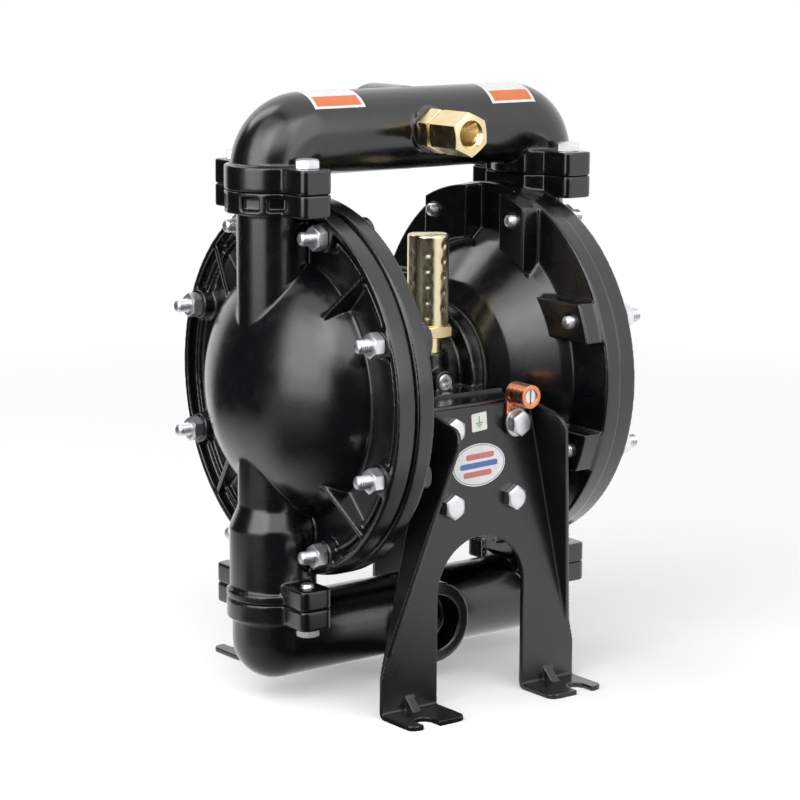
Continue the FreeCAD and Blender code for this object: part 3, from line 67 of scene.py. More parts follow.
def make_camera():
    data = bpy.data.cameras.new("camera")
    data.sensor_width = SENSOR_WIDTH
    data.lens = FOCAL_PIXELS / PHOTO_WIDTH * SENSOR_WIDTH
    data.clip_start, data.clip_end = CLIP_START, CLIP_END
    camera = bpy.data.objects.new("camera", data)
    bpy.context.scene.collection.objects.link(camera)
    back = direction_of(CAMERA_AZIMUTH, CAMERA_ELEVATION)
    right = Vector((math.cos(CAMERA_AZIMUTH), math.sin(CAMERA_AZIMUTH), 0))
    up = back.cross(right)
    turned_right = math.cos(CAMERA_ROLL) * right + math.sin(CAMERA_ROLL) * up
    turned_up = -math.sin(CAMERA_ROLL) * right + math.cos(CAMERA_ROLL) * up
    place = CAMERA_TARGET + back * CAMERA_DISTANCE
    rows = [(turned_right[i], turned_up[i], back[i], place[i]) for i in range(3)]
    camera.matrix_world = Matrix(rows + [(0, 0, 0, 1)])
    bpy.context.scene.camera = camera


# Materials
def new_material(name):
    material = bpy.data.materials.new(name)
    material.use_nodes = True
    tree = material.node_tree
    tree.nodes.clear()
    output = tree.nodes.new("ShaderNodeOutputMaterial")
    shader = tree.nodes.new("ShaderNodeBsdfPrincipled")
    tree.links.new(shader.outputs[0], output.inputs[0])
    return material, tree, shader


def node(tree, kind, **inputs):
    """A node of that kind, with inputs set or linked by name, and its own settings by theirs."""
    made = tree.nodes.new(kind)
    for key, value in inputs.items():
        target = made.inputs.get(key.replace("_", " "))
        if target is None:
            setattr(made, key, value)
        elif isinstance(value, bpy.types.NodeSocket):
            tree.links.new(value, target)
        else:
            target.default_value = value
    return made


def position(tree):
    return node(tree, "ShaderNodeTexCoord").outputs["Object"]


def noise(tree, size_mm, detail=3.0, roughness=0.5, distortion=0.0):
    """A noise whose lumps are about size_mm across."""
    made = node(tree, "ShaderNodeTexNoise", Scale=1000.0 / size_mm, Detail=detail, Roughness=roughness,
                Distortion=distortion)
    tree.links.new(position(tree), made.inputs["Vector"])
    return made.outputs["Fac"]


def ramp(tree, fac, stops):
    """The colour for fac, from stops of (place, colour)."""
    made = tree.nodes.new("ShaderNodeValToRGB")
    tree.links.new(fac, made.inputs[0])
    elements = made.color_ramp.elements
    while len(elements) < len(stops):
        elements.new(0.5)
    for element, (place, colour) in zip(elements, stops):
        element.position = place
        element.color = (*colour, 1)
    return made.outputs[0]


def span(tree, fac, low, high, start=0.0, end=1.0):
    """low up to where fac is start, high from where it is end, and even between."""
    made = node(tree, "ShaderNodeMapRange")
    tree.links.new(fac, made.inputs["Value"])
    made.inputs["From Min"].default_value = start
    made.inputs["From Max"].default_value = end
    made.inputs["To Min"].default_value = low
    made.inputs["To Max"].default_value = high
    return made.outputs[0]


def bump(tree, heights):
    """Bumps in millimetres: heights is a list of (fac, depth in mm), the coarsest first."""
    normal = None
    for fac, depth in heights:
        made = node(tree, "ShaderNodeBump", Strength=1.0, Distance=depth * MM, Height=fac)
        if normal is not None:
            tree.links.new(normal, made.inputs["Normal"])
        normal = made.outputs[0]
    return normal


def painted_casting():
    """Black enamel on cast metal: glossy, over the slight waves and grain of the casting."""
    material, tree, shader = new_material("painted_casting")
    colour = ramp(tree, noise(tree, 26, 3), CASTING_BLACK)
    tree.links.new(colour, shader.inputs["Base Color"])
    shader.inputs["Specular IOR Level"].default_value = 0.6
    shader.inputs["Coat Weight"].default_value = 0.6
    shader.inputs["Coat Roughness"].default_value = 0.17
    tree.links.new(span(tree, noise(tree, 9, 4), 0.2, 0.3, 0.3, 0.7), shader.inputs["Roughness"])
    waves = noise(tree, 38, 2)
    skin = noise(tree, 6.0, 3, 0.55)
    grain = noise(tree, 1.6, 4, 0.6)
    tree.links.new(bump(tree, [(waves, 0.16), (skin, 0.028), (grain, 0.013)]), shader.inputs["Normal"])
    return material


def painted_sheet():
    """Black enamel on sheet metal, flatter and a little duller."""
    material, tree, shader = new_material("painted_sheet")
    colour = ramp(tree, noise(tree, 30, 3), SHEET_BLACK)
    tree.links.new(colour, shader.inputs["Base Color"])
    shader.inputs["Specular IOR Level"].default_value = 0.6
    shader.inputs["Coat Weight"].default_value = 0.4
    shader.inputs["Coat Roughness"].default_value = 0.2
    tree.links.new(span(tree, noise(tree, 14, 4), 0.26, 0.38, 0.3, 0.7), shader.inputs["Roughness"])
    waves = noise(tree, 45, 2)
    grain = noise(tree, 0.9, 3)
    tree.links.new(bump(tree, [(waves, 0.08), (grain, 0.006)]), shader.inputs["Normal"])
    return material


def metal(name, stops, rough, lump=8, grain=0.6, grain_depth=0.006):
    """A plated or bare metal: stops colour its blotches, rough is the lowest and highest roughness."""
    material, tree, shader = new_material(name)
    shader.inputs["Metallic"].default_value = 1.0
    colour = ramp(tree, noise(tree, lump, 4, 0.6, 0.4), stops)
    tree.links.new(colour, shader.inputs["Base Color"])
    patches = noise(tree, lump * 0.4, 4)
    tree.links.new(span(tree, patches, *rough, 0.3, 0.7), shader.inputs["Roughness"])
    tree.links.new(bump(tree, [(noise(tree, grain, 3), grain_depth)]), shader.inputs["Normal"])
    return material


def soft(name, colour, rough):
    """Rubber, fibre or plastic."""
    material, tree, shader = new_material(name)
    dark = tuple(0.75 * c for c in colour)
    shade = ramp(tree, noise(tree, 7, 3), [(0.3, dark), (0.7, colour)])
    tree.links.new(shade, shader.inputs["Base Color"])
    patches = noise(tree, 5, 3)
    tree.links.new(span(tree, patches, rough - 0.06, rough + 0.06, 0.3, 0.7), shader.inputs["Roughness"])
    tree.links.new(bump(tree, [(noise(tree, 1.2, 3), 0.02)]), shader.inputs["Normal"])
    return material


# The colours that each material's blotches run through
CASTING_BLACK = [(0.3, (0.0018, 0.0018, 0.0025)), (0.7, (0.0032, 0.0032, 0.0042))]
SHEET_BLACK = [(0.3, (0.0036, 0.0042, 0.004)), (0.7, (0.006, 0.0068, 0.0065))]
ZINC = [(0.3, (0.76, 0.78, 0.81)), (0.7, (0.9, 0.91, 0.93))]
STEEL = [(0.3, (0.5, 0.5, 0.51)), (0.7, (0.63, 0.63, 0.64))]
YELLOW_ZINC = [(0.25, (0.7, 0.58, 0.33)), (0.45, (0.86, 0.74, 0.5)), (0.6, (0.8, 0.74, 0.47)),
               (0.75, (0.92, 0.72, 0.66))]
BRASS = [(0.3, (0.86, 0.68, 0.36)), (0.7, (0.94, 0.8, 0.5))]
COPPER = [(0.3, (0.72, 0.27, 0.14)), (0.7, (0.86, 0.38, 0.22))]
BRONZE = [(0.3, (0.42, 0.27, 0.12)), (0.7, (0.55, 0.38, 0.18))]
ALUMINIUM = [(0.3, (0.55, 0.56, 0.57)), (0.7, (0.68, 0.69, 0.7))]
materials = {
    "casting_paint": painted_casting(),
    "sheet_paint": painted_sheet(),
    "zinc": metal("bright_zinc", ZINC, (0.34, 0.46), lump=5, grain=0.8, grain_depth=0.003),
    "steel": metal("plain_steel", STEEL, (0.22, 0.36)),
    "yellow_zinc": metal("yellow_zinc", YELLOW_ZINC, (0.2, 0.3), lump=14, grain=0.8, grain_depth=0.003),
    "brass": metal("machined_brass", BRASS, (0.18, 0.28), lump=12, grain=0.8, grain_depth=0.003),
    "copper": metal("plain_copper", COPPER, (0.24, 0.36), lump=6),
    "bronze": metal("bearing_bronze", BRONZE, (0.35, 0.5)),
    "aluminium": metal("turned_aluminium", ALUMINIUM, (0.25, 0.4)),
    "rubber": soft("moulded_rubber", (0.022, 0.022, 0.022), 0.62),
    "gasket": soft("fibre_gasket", (0.09, 0.09, 0.08), 0.75),
    "elastomer": soft("ball_elastomer", (0.66, 0.62, 0.54), 0.5),
}
# The CAD meshes come with a plain material named after each slot
for part in nodes.values():
    slots = part.data.materials
    for index, old in enumerate(slots):
        slots[index] = materials[old.name.split(".")[0]]


# Castings: the curved triangles of a CAD mesh are split and bulged out, then all are joined and smoothed
SPLIT_STEP = 1.5
MOST_SPLITS = 12
# Triangles whose corner normals turn less than this count as flat
FLAT_WITHIN = math.radians(0.4)
# The share of the full bulge, and the share of the faces kept
BULGE = 0.5
SHARE_KEPT = 0.25


def curved_soup(source, step):
    """The triangles of a CAD mesh, the curved ones split to step and bulged out by their corner normals."""
    mesh = source.data
    count = len(mesh.polygons)
    points = np.empty(len(mesh.vertices) * 3)
    mesh.vertices.foreach_get("co", points)
    points = points.reshape(-1, 3)
    corner = np.empty(count * 3, np.int32)
    mesh.loops.foreach_get("vertex_index", corner)
    normals = np.empty(count * 9, np.float32)
    mesh.corner_normals.foreach_get("vector", normals)
    place = points[corner].reshape(-1, 3, 3)
    normal = normals.astype(float).reshape(-1, 3, 3)
    following = [1, 2, 0]
    turn = np.min(np.sum(normal * normal[:, following], axis=2), axis=1)
    longest = np.max(np.linalg.norm(place - place[:, following], axis=2), axis=1)
    curved = turn < math.cos(FLAT_WITHIN)
    level = np.where(curved, np.clip(np.ceil(longest / step), 1, MOST_SPLITS), 1).astype(int)
    soup = []
    for n in np.unique(level):
        chosen = level == n
        p, m = place[chosen], normal[chosen]
        grid = [(i, j) for i in range(n + 1) for j in range(n + 1 - i)]
        index = {key: k for k, key in enumerate(grid)}
        weights = np.array([((n - i - j) / n, i / n, j / n) for i, j in grid])
        flat = np.einsum("kc,tcd->tkd", weights, p)
        if n > 1:
            bulged = np.zeros_like(flat)
            for c in range(3):
                lift = np.einsum("tkd,td->tk", flat - p[:, None, c], m[:, c])
                bulged += weights[None, :, c, None] * (flat - lift[:, :, None] * m[:, None, c])
            flat = (1 - BULGE) * flat + BULGE * bulged
        cells = []
        for i, j in grid:
            if i + j < n:
                cells.append((index[i, j], index[i + 1, j], index[i, j + 1]))
            if i + j < n - 1:
                cells.append((index[i + 1, j], index[i + 1, j + 1], index[i, j + 1]))
        soup.append(flat[:, np.array(cells)].reshape(-1, 3, 3))
    return np.concatenate(soup)


def mesh_from_soup(name, soup):
    """A mesh of loose triangles, which the voxel remesh then joins."""
    count = len(soup)
    mesh = bpy.data.meshes.new(name)
    mesh.vertices.add(count * 3)
    mesh.vertices.foreach_set("co", soup.astype(np.float32).ravel())
    mesh.loops.add(count * 3)
    mesh.loops.foreach_set("vertex_index", np.arange(count * 3, dtype=np.int32))
    mesh.polygons.add(count)
    mesh.polygons.foreach_set("loop_start", np.arange(0, count * 3, 3, dtype=np.int32))
    mesh.update(calc_edges=True)
    return mesh


def settle(piece):
    """Applies the piece's modifiers to its mesh."""
    graph = bpy.context.evaluated_depsgraph_get()
    graph.update()
    shown = piece.evaluated_get(graph)
    mesh = bpy.data.meshes.new_from_object(shown, preserve_all_data_layers=True, depsgraph=graph)
    piece.modifiers.clear()
    old = piece.data
    piece.data = mesh
    bpy.data.meshes.remove(old)


def paint(piece, material):
    """Gives the piece that material alone."""
    piece.data.materials.clear()
    piece.data.materials.append(material)


def add_piece(name, mesh, slot, replaced=()):
    """A piece on the pump's body, with its slot's material, standing for the replaced nodes."""
    piece = bpy.data.objects.new(name, mesh)
    bpy.context.scene.collection.objects.link(piece)
    paint(piece, materials[slot])
    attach(piece, "pump")
    if replaced:
        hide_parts(*replaced)
    return piece


def cast_piece(source, slot="casting_paint", voxel=0.8, rounds=10):
    """A copy of a CAD casting with the rounded edges and filled corners of a real one."""
    mesh = mesh_from_soup(source + "_skin", curved_soup(nodes[source], SPLIT_STEP * MM))
    piece = add_piece("cast_" + source, mesh, slot, [source])
    remesh = piece.modifiers.new("remesh", "REMESH")
    remesh.mode = "VOXEL"
    remesh.voxel_size = voxel * MM
    remesh.adaptivity = 0
    remesh.use_smooth_shade = True
    smooth = piece.modifiers.new("smooth", "SMOOTH")
    smooth.factor = 0.5
    smooth.iterations = rounds
    fewer = piece.modifiers.new("fewer", "DECIMATE")
    fewer.ratio = SHARE_KEPT
    even = piece.modifiers.new("even", "WEIGHTED_NORMAL")
    even.weight = 60
    even.keep_sharp = False
    settle(piece)
    paint(piece, materials[slot])
    return piece


castings = {}
for name in ["right_fluid_cap", "left_air_cap", "right_air_cap", "outlet_manifold", "inlet_manifold",
             "centre_body", "valve_block", "left_valve_cap", "right_valve_cap"]:
    castings[name] = cast_piece(name)
# The left fluid cap is the right one turned half a turn
turned_mesh = castings["right_fluid_cap"].data.copy()
turned_mesh.transform(Matrix.Rotation(math.pi, 4, "Z"))
add_piece("cast_left_fluid_cap", turned_mesh, "casting_paint", ["left_fluid_cap"])
for name in ["front_bracket", "rear_bracket"]:
    castings[name] = cast_piece(name, "sheet_paint", voxel=0.6, rounds=4)
cast_piece("ground_lug", "copper", voxel=0.3, rounds=4)
cast_piece("lug_screw", "zinc", voxel=0.2, rounds=3)


# Turned and hexagonal pieces
SIDES = 48
EDGE_SHARP = math.radians(32)
# The M8 thread, and the hexagon of its bolts and nuts
HEX_FLATS = 13.0
SHANK = 4.0
HEAD_HEIGHT = 5.3
NUT_HEIGHT = 6.8
PITCH = 1.25
THREAD_DEPTH = 0.42
RINGS_PER_PITCH = 5


def angles_round(count):
    return np.arange(count) * 2 * math.pi / count


def hexagon_reach(flats):
    """How far a hexagon reaches at each angle round it, from a corner on."""
    angles = angles_round(SIDES)
    return flats / 2 / np.cos(angles % (math.pi / 3) - math.pi / 6)


def chamfered(flats, start, slope=0.5):
    """How much lower a hexagon's edge is than its face, where a cone from start takes off the corners."""
    return (hexagon_reach(flats) - start) * slope


def band_faces(rings, count, closed):
    """The faces between rings of count points each, and from the last to the first for closed."""
    faces = []
    for k in range(rings if closed else rings - 1):
        low, high = k * count, (k + 1) % rings * count
        for i in range(count):
            j = (i + 1) % count
            faces.append((low + i, low + j, high + j, high + i))
    return faces


def skin_of_rings(rings, start, axis, corner, closed=False):
    """Points and faces through rings (reach, height) about an axis from start, with corner at angle 0.

    It is a tube that closes on itself for closed, and has a face at each end if not.
    """
    axis, corner = np.array(axis, float), np.array(corner, float)
    side = np.cross(axis, corner)
    count = max([len(reach) for reach, _ in rings if np.ndim(reach)], default=SIDES)
    angles = angles_round(count)
    outwards = np.cos(angles)[:, None] * corner + np.sin(angles)[:, None] * side
    points = []
    for reach, height in rings:
        reach, height = np.broadcast_to(reach, count), np.broadcast_to(height, count)
        points.append(np.array(start, float) + outwards * reach[:, None] + axis * height[:, None])
    faces = band_faces(len(rings), count, closed)
    if not closed:
        faces.append(tuple(range(count)))
        faces.append(tuple(range((len(rings) - 1) * count, len(rings) * count)))
    return np.concatenate(points), faces


def thread(low, high, radius, pitch=PITCH, depth=THREAD_DEPTH, inside=False):
    """The rings of a screw thread between two heights, cut into a rod, or into a bore for inside."""
    turn = np.arange(SIDES) / SIDES
    rings = []
    for height in np.linspace(low, high, int(abs(high - low) / pitch * RINGS_PER_PITCH)):
        dent = depth * np.abs(2 * ((height / pitch - turn) % 1) - 1)
        rings.append((radius + dent if inside else radius - dent, height))
    return rings


def closed_mesh(name, points, faces):
    """A mesh with its faces turned outwards, smooth except at its edges."""
    mesh = bpy.data.meshes.new(name)
    mesh.from_pydata(points, [], faces)
    work = bmesh.new()
    work.from_mesh(mesh)
    bmesh.ops.recalc_face_normals(work, faces=work.faces)
    work.to_mesh(mesh)
    work.free()
    mesh.polygons.foreach_set("use_smooth", [True] * len(mesh.polygons))
    mesh.set_sharp_from_angle(angle=EDGE_SHARP)
    return mesh


def piece_of_skins(name, skins, slot, *replaced):
    """One piece from several closed skins given in millimetres."""
    points, faces = [], []
    for more_points, more_faces in skins:
        offset = sum(len(p) for p in points)
        points.append(more_points)
        faces += [tuple(offset + i for i in face) for face in more_faces]
    mesh = closed_mesh(name, (np.concatenate(points) * MM).tolist(), faces)
    return add_piece(name, mesh, slot, replaced)


def hex_bolt(seat, axis, corner, length):
    """A bolt whose head sits on seat, axis pointing out of the head."""
    face = HEX_FLATS / 2 - 0.9
    edge = chamfered(HEX_FLATS, face)
    reach = hexagon_reach(HEX_FLATS)
    head = HEAD_HEIGHT
    rings = [(face - 0.4, head), (face, head - 0.1), (reach, head - 0.1 - edge),
             (reach, 0.25), (face, 0.0), (SHANK, 0.0)]
    rings += thread(-1.0, 1.2 - length, SHANK)
    rings += [(SHANK - 0.9, 0.2 - length), (SHANK - 1.6, -length)]
    return skin_of_rings(rings, seat, axis, corner)


def hex_nut(seat, axis, corner):
    """A nut that sits on seat, axis pointing away from what it clamps."""
    face = HEX_FLATS / 2 - 0.4
    edge = chamfered(HEX_FLATS, face)
    reach = hexagon_reach(HEX_FLATS)
    height = NUT_HEIGHT
    rings = [(SHANK + 0.05, 0), (face, 0), (reach, edge), (reach, height - edge), (face, height),
             (SHANK + 0.8, height), (SHANK + 0.05, height - 0.75)]
    return skin_of_rings(rings, seat, axis, corner, closed=True)


def stud(tail, length, axis, corner):
    """A threaded rod with rounded tips."""
    rings = [(1.5, 0), (2.6, 0.25), (3.4, 0.9)] + thread(1.5, length - 1.5, SHANK)
    rings += [(3.4, length - 0.9), (2.6, length - 0.25), (1.5, length)]
    return skin_of_rings(rings, tail, axis, corner)


def socket_screw(seat, axis, corner, radius, head, shank, length):
    """A screw with a hexagon socket in its round head."""
    socket = hexagon_reach(radius)
    rings = [(socket, head * 0.4), (socket, head), (radius - 0.35, head), (radius, head - 0.35), (radius, 0),
             (shank, 0), (shank, 0.4 - length), (shank - 0.4, -length)]
    return skin_of_rings(rings, seat, axis, corner)


# The clamp bolts: studs with a nut on each fluid cap
BOLT_CIRCLE = 100.0
CLAMPS = 8
FIRST_CLAMP = 22.5
NUT_SEAT = 88.5
STUD_TIP = 104.0
STUD_TAILS = {"left": 53.1, "right": 46.6}
for side, sign in (("left", -1), ("right", 1)):
    axis = (sign, 0, 0)
    spots = []
    for k in range(CLAMPS):
        angle = math.radians(FIRST_CLAMP + 360 / CLAMPS * k)
        spots.append((BOLT_CIRCLE * math.cos(angle), ROD_HEIGHT + BOLT_CIRCLE * math.sin(angle)))
    tail = STUD_TAILS[side]
    nuts = [hex_nut((sign * NUT_SEAT, y, z), axis, UP) for y, z in spots]
    piece_of_skins(f"{side}_nuts", nuts, "zinc", f"{side}_clamp_nuts")
    studs = [stud((sign * tail, y, z), STUD_TIP - tail, axis, UP) for y, z in spots]
    piece_of_skins(f"{side}_studs", studs, "zinc", f"{side}_clamp_bolts")

# The manifold bolts, through the ears: seat height, axis and length
EARS = [(x, y) for x in (-96.3, 96.3) for y in (-35.0, 35.0)]
for name, height, axis, length in (("outlet", 317.1, UP, 27.5), ("inlet", 50.7, DOWN, 26.0)):
    bolts = [hex_bolt((x, y, height), axis, RIGHT, length) for x, y in EARS]
    piece_of_skins(f"{name}_bolts", bolts, "zinc", f"{name}_manifold_bolts")

# The bracket bolts: the upper right one at the front also holds the ground lug, over a washer
BRACKET_FACE = 75.6
BRACKET_BOLT = 30.0
BRACKET_BOLTS = [(x, z) for x in (-23.2, 23.2) for z in (120.1, 165.1)]
LUG_X, LUG_Z = LUG_SPOT = (23.2, 165.1)
LUG_FACE = 77.6
LUG_WASHER = 1.6
LUG_BOLT = 33.6
plain = [spot for spot in BRACKET_BOLTS if spot != LUG_SPOT]
front_bolts = [hex_bolt((x, -BRACKET_FACE, z), FRONT, UP, BRACKET_BOLT) for x, z in plain]
piece_of_skins("front_bolts", front_bolts, "zinc", "front_bracket_bolts")
rear_bolts = [hex_bolt((x, BRACKET_FACE, z), REAR, UP, BRACKET_BOLT) for x, z in BRACKET_BOLTS]
piece_of_skins("rear_bolts", rear_bolts, "zinc", "rear_bracket_bolts")
lug_bolt = hex_bolt((LUG_X, -LUG_FACE - LUG_WASHER, LUG_Z), FRONT, UP, LUG_BOLT)
piece_of_skins("lug_hex_bolt", [lug_bolt], "zinc", "lug_bolt")
washer = [(4.1, 0), (8.2, 0), (8.45, 0.25), (8.45, LUG_WASHER - 0.25), (8.2, LUG_WASHER), (4.1, LUG_WASHER)]
washer = skin_of_rings(washer, (LUG_X, -LUG_FACE, LUG_Z), FRONT, UP, closed=True)
piece_of_skins("lug_round_washer", [washer], "zinc", "lug_washer")

# The socket screws of the valve's end caps and of the air caps, and the tower's socket plug
VALVE_SCREWS = [(x, -62.0, z) for x in (-37.5, 37.5) for z in (132.7, 152.7)]
VALVE_SCREW = {"radius": 3.0, "head": 2.0, "shank": 1.5, "length": 10.0}
AIR_SCREW_OFF = 22.63
AIR_SCREWS = [(x, y, ROD_HEIGHT + z) for x in (-38.0, 38.0)
              for y in (-AIR_SCREW_OFF, AIR_SCREW_OFF) for z in (-AIR_SCREW_OFF, AIR_SCREW_OFF)]
AIR_SCREW = {"radius": 5.0, "head": 6.0, "shank": 3.0, "length": 17.0}


def side_screws(seats, sizes):
    """Socket screws along x on both sides, their heads outwards."""
    return [socket_screw(seat, (math.copysign(1, seat[0]), 0, 0), UP, **sizes) for seat in seats]


piece_of_skins("valve_socket_screws", side_screws(VALVE_SCREWS, VALVE_SCREW), "zinc", "valve_cap_screws")
piece_of_skins("air_socket_screws", side_screws(AIR_SCREWS, AIR_SCREW), "zinc", "air_cap_screws")
PLUG_SEAT = (0, -32.5, ROD_HEIGHT)
plug_socket = hexagon_reach(5.0)
plug = [(plug_socket, 4.0), (plug_socket, 8.0), (4.3, 8.0), (5.0, 7.3), (5.0, 0.6), (4.4, 0)]
piece_of_skins("socket_plug", [skin_of_rings(plug, PLUG_SEAT, FRONT, UP)], "zinc", "tower_plug")


# Brass fitting: a nipple in the outlet tube and a coupling on it, with the same hexagon
OUTLET_HEIGHT = 333.1
BRASS_TURN = math.radians(156)
BRASS_CORNER = (math.cos(BRASS_TURN), 0, math.sin(BRASS_TURN))
BRASS_FLATS, BRASS_FACE = 22.8, 10.7
NIPPLE_Y, NIPPLE_HEX = -25, 10.5
COUPLING_Y, COUPLING_LENGTH, COUPLING_BORE = -37, 25, 6.75
brass_reach = hexagon_reach(BRASS_FLATS)
brass_edge = chamfered(BRASS_FLATS, BRASS_FACE, 0.45)
nipple = [(5.0, -7), (8.5, -7), (8.5, 0), (BRASS_FACE, 0), (brass_reach, brass_edge),
          (brass_reach, NIPPLE_HEX - brass_edge), (BRASS_FACE, NIPPLE_HEX), (8.5, NIPPLE_HEX),
          (8.5, 12), (5.0, 12)]
nipple = skin_of_rings(nipple, (0, NIPPLE_Y, OUTLET_HEIGHT), FRONT, BRASS_CORNER, closed=True)
piece_of_skins("hex_nipple", [nipple], "brass", "brass_nipple")
coupling = [(COUPLING_BORE, 0), (BRASS_FACE, 0), (brass_reach, brass_edge),
            (brass_reach, COUPLING_LENGTH - brass_edge), (BRASS_FACE, COUPLING_LENGTH),
            (8.4, COUPLING_LENGTH), (7.3, 23.6)]
coupling += thread(23.2, 6.0, COUPLING_BORE, pitch=1.8, depth=0.6, inside=True)
coupling += [(COUPLING_BORE, 5.0)]
coupling = skin_of_rings(coupling, (0, COUPLING_Y, OUTLET_HEIGHT), FRONT, BRASS_CORNER, closed=True)
piece_of_skins("hex_coupling", [coupling], "brass", "brass_coupling")


# Muffler: a dimpled can on a hexagon base
MUFFLER_PLACE = (0, -22.3)
MUFFLER_FLATS, MUFFLER_FACE = 26.5, 12.6
BASE_HEIGHT, HEX_BELOW, HEX_ABOVE = 194.3, 17, 24
CAN_HEIGHT = 218.3
CAN_RADIUS = 12.35
CAN_SIDES = 168
CAN_RING_STEP = 0.45
CAN_STRAIGHT = 52.0
DIMPLE_COLUMNS = 7
DIMPLE_ROWS = 5
DIMPLE_PITCH = 9.3
DIMPLE_WIDTH = 1.25
DIMPLE_DEPTH = 0.7
FIRST_COLUMN = -128.5
FIRST_ROW = 6.0


def dimpled_can():
    """The muffler's can, with rows of pressed dimples, each column half a pitch off the next."""
    angles = np.degrees(angles_round(CAN_SIDES))
    rings = [(CAN_RADIUS - 1.2, 0.0), (CAN_RADIUS - 0.4, 0.0), (CAN_RADIUS, 0.5)]
    for height in np.arange(1.0, CAN_STRAIGHT, CAN_RING_STEP):
        dent = np.zeros(CAN_SIDES)
        for column in range(DIMPLE_COLUMNS):
            across = (angles - FIRST_COLUMN - column * 360 / DIMPLE_COLUMNS + 180) % 360 - 180
            across = np.radians(across) * CAN_RADIUS
            for row in range(DIMPLE_ROWS):
                along = height - FIRST_ROW - DIMPLE_PITCH * (row + 0.5 * (column % 2))
                dent += DIMPLE_DEPTH * np.exp(-(across**2 + along**2) / (2 * DIMPLE_WIDTH**2))
        rings.append((CAN_RADIUS - dent, height))
    rings += [(CAN_RADIUS, 52.6), (CAN_RADIUS - 0.25, 53.4), (CAN_RADIUS - 0.8, 53.9),
              (CAN_RADIUS - 1.5, 54.0), (CAN_RADIUS - 2.2, 53.6), (CAN_RADIUS - 3.0, 53.4)]
    return skin_of_rings(rings, (*MUFFLER_PLACE, CAN_HEIGHT), UP, RIGHT)


piece_of_skins("dimpled_muffler", [dimpled_can()], "yellow_zinc", "muffler_shell")
base_reach = hexagon_reach(MUFFLER_FLATS)
base_edge = chamfered(MUFFLER_FLATS, MUFFLER_FACE, 0.4)
base = [(5.0, 0), (7.0, 0), (7.0, 8), (9.0, 8), (9.0, HEX_BELOW), (MUFFLER_FACE, HEX_BELOW),
        (base_reach, HEX_BELOW + base_edge), (base_reach, HEX_ABOVE - base_edge),
        (MUFFLER_FACE, HEX_ABOVE), (5.0, HEX_ABOVE)]
base = skin_of_rings(base, (*MUFFLER_PLACE, BASE_HEIGHT), UP, RIGHT, closed=True)
piece_of_skins("muffler_hex", [base], "brass", "muffler_base")


# Labels: plain generic ones, with no words
def print_material(name, colour):
    """Print on a film label, a little worn."""
    material, tree, shader = new_material(name)
    worn = tuple(0.88 * c for c in colour)
    shade = ramp(tree, noise(tree, 3.5, 4, 0.6), [(0.3, worn), (0.7, colour)])
    tree.links.new(shade, shader.inputs["Base Color"])
    tree.links.new(span(tree, noise(tree, 5, 3), 0.3, 0.43, 0.3, 0.7), shader.inputs["Roughness"])
    tree.links.new(bump(tree, [(noise(tree, 0.7, 2), 0.004)]), shader.inputs["Normal"])
    return material


label_white = print_material("label_white", (0.82, 0.82, 0.8))
label_orange = print_material("label_orange", (0.72, 0.2, 0.08))
label_green = print_material("label_green", (0.06, 0.3, 0.14))
label_red = print_material("label_red", (0.62, 0.2, 0.2))
label_blue = print_material("label_blue", (0.1, 0.18, 0.45))


# How deep a label's underside is in what it sticks to, so that no gap shows
SUNK = 0.3


def film(name, rows, material, lift):
    """A thin closed film that stands lift above rows of (point, normal) on a surface."""
    high = len(rows)
    wide = len(rows[0])
    below = [p - n * SUNK * MM for row in rows for p, n in row]
    above = [p + n * lift * MM for row in rows for p, n in row]
    total = high * wide
    faces = []
    for i in range(high - 1):
        for j in range(wide - 1):
            a = i * wide + j
            faces.append((a, a + wide, a + wide + 1, a + 1))
            faces.append((total + a, total + a + 1, total + a + wide + 1, total + a + wide))
    edge = list(range(wide))
    edge += [i * wide + wide - 1 for i in range(1, high)]
    edge += [(high - 1) * wide + j for j in range(wide - 2, -1, -1)]
    edge += [i * wide for i in range(high - 2, 0, -1)]
    for a, b in zip(edge, edge[1:] + edge[:1]):
        faces.append((a, b, total + b, total + a))
    paint(add_piece(name, closed_mesh(name, below + above, faces), "sheet_paint"), material)


def surface(piece):
    """A function from a start and a direction to the point hit on the piece and its normal."""
    points = [v.co for v in piece.data.vertices]
    tree = BVHTree.FromPolygons(points, [p.vertices for p in piece.data.polygons])

    def hit(start, direction):
        place, normal, _, _ = tree.ray_cast(Vector(start), Vector(direction).normalized())
        if normal.dot(Vector(direction)) > 0:
            normal = -normal
        return place, normal

    return hit


on_tube = surface(castings["outlet_manifold"])
on_plate = surface(castings["front_bracket"])
OUTSIDE_TUBE = 60
FILM_ROWS, FILM_COLUMNS = 25, 22


def tube_film(name, low_x, high_x, low_angle, high_angle, material, lift):
    """A label wrapped on the outlet tube, from low_angle (0 is the front) up to high_angle, in degrees."""
    rows = []
    for angle in np.linspace(math.radians(low_angle), math.radians(high_angle), FILM_ROWS):
        outwards = Vector((0, -math.cos(angle), math.sin(angle)))
        row = []
        for x in np.linspace(low_x, high_x, FILM_COLUMNS):
            middle = Vector((x, 0, OUTLET_HEIGHT)) * MM
            row.append(on_tube(middle + outwards * OUTSIDE_TUBE * MM, -outwards))
        rows.append(row)
    film(name, rows, material, lift)


LABEL_ANGLE = 70
MARGIN = 2.2
BAND_LOW, BAND_HIGH = 4, 24
for side, low_x, high_x, angle in (("left", -79.0, -43.5, 39.0), ("right", 49.5, 83.0, 34.0)):
    tube_film(f"{side}_tube_label", low_x, high_x, angle, angle + LABEL_ANGLE, label_white, 0.12)
    tube_film(f"{side}_tube_band", low_x + MARGIN, high_x - MARGIN, angle + BAND_LOW, angle + BAND_HIGH,
              label_orange, 0.18)


# The lift of a flat label, and of the print on it
LABEL_LIFT, PRINT_LIFT = 0.1, 0.15
BEFORE_PLATE = -140


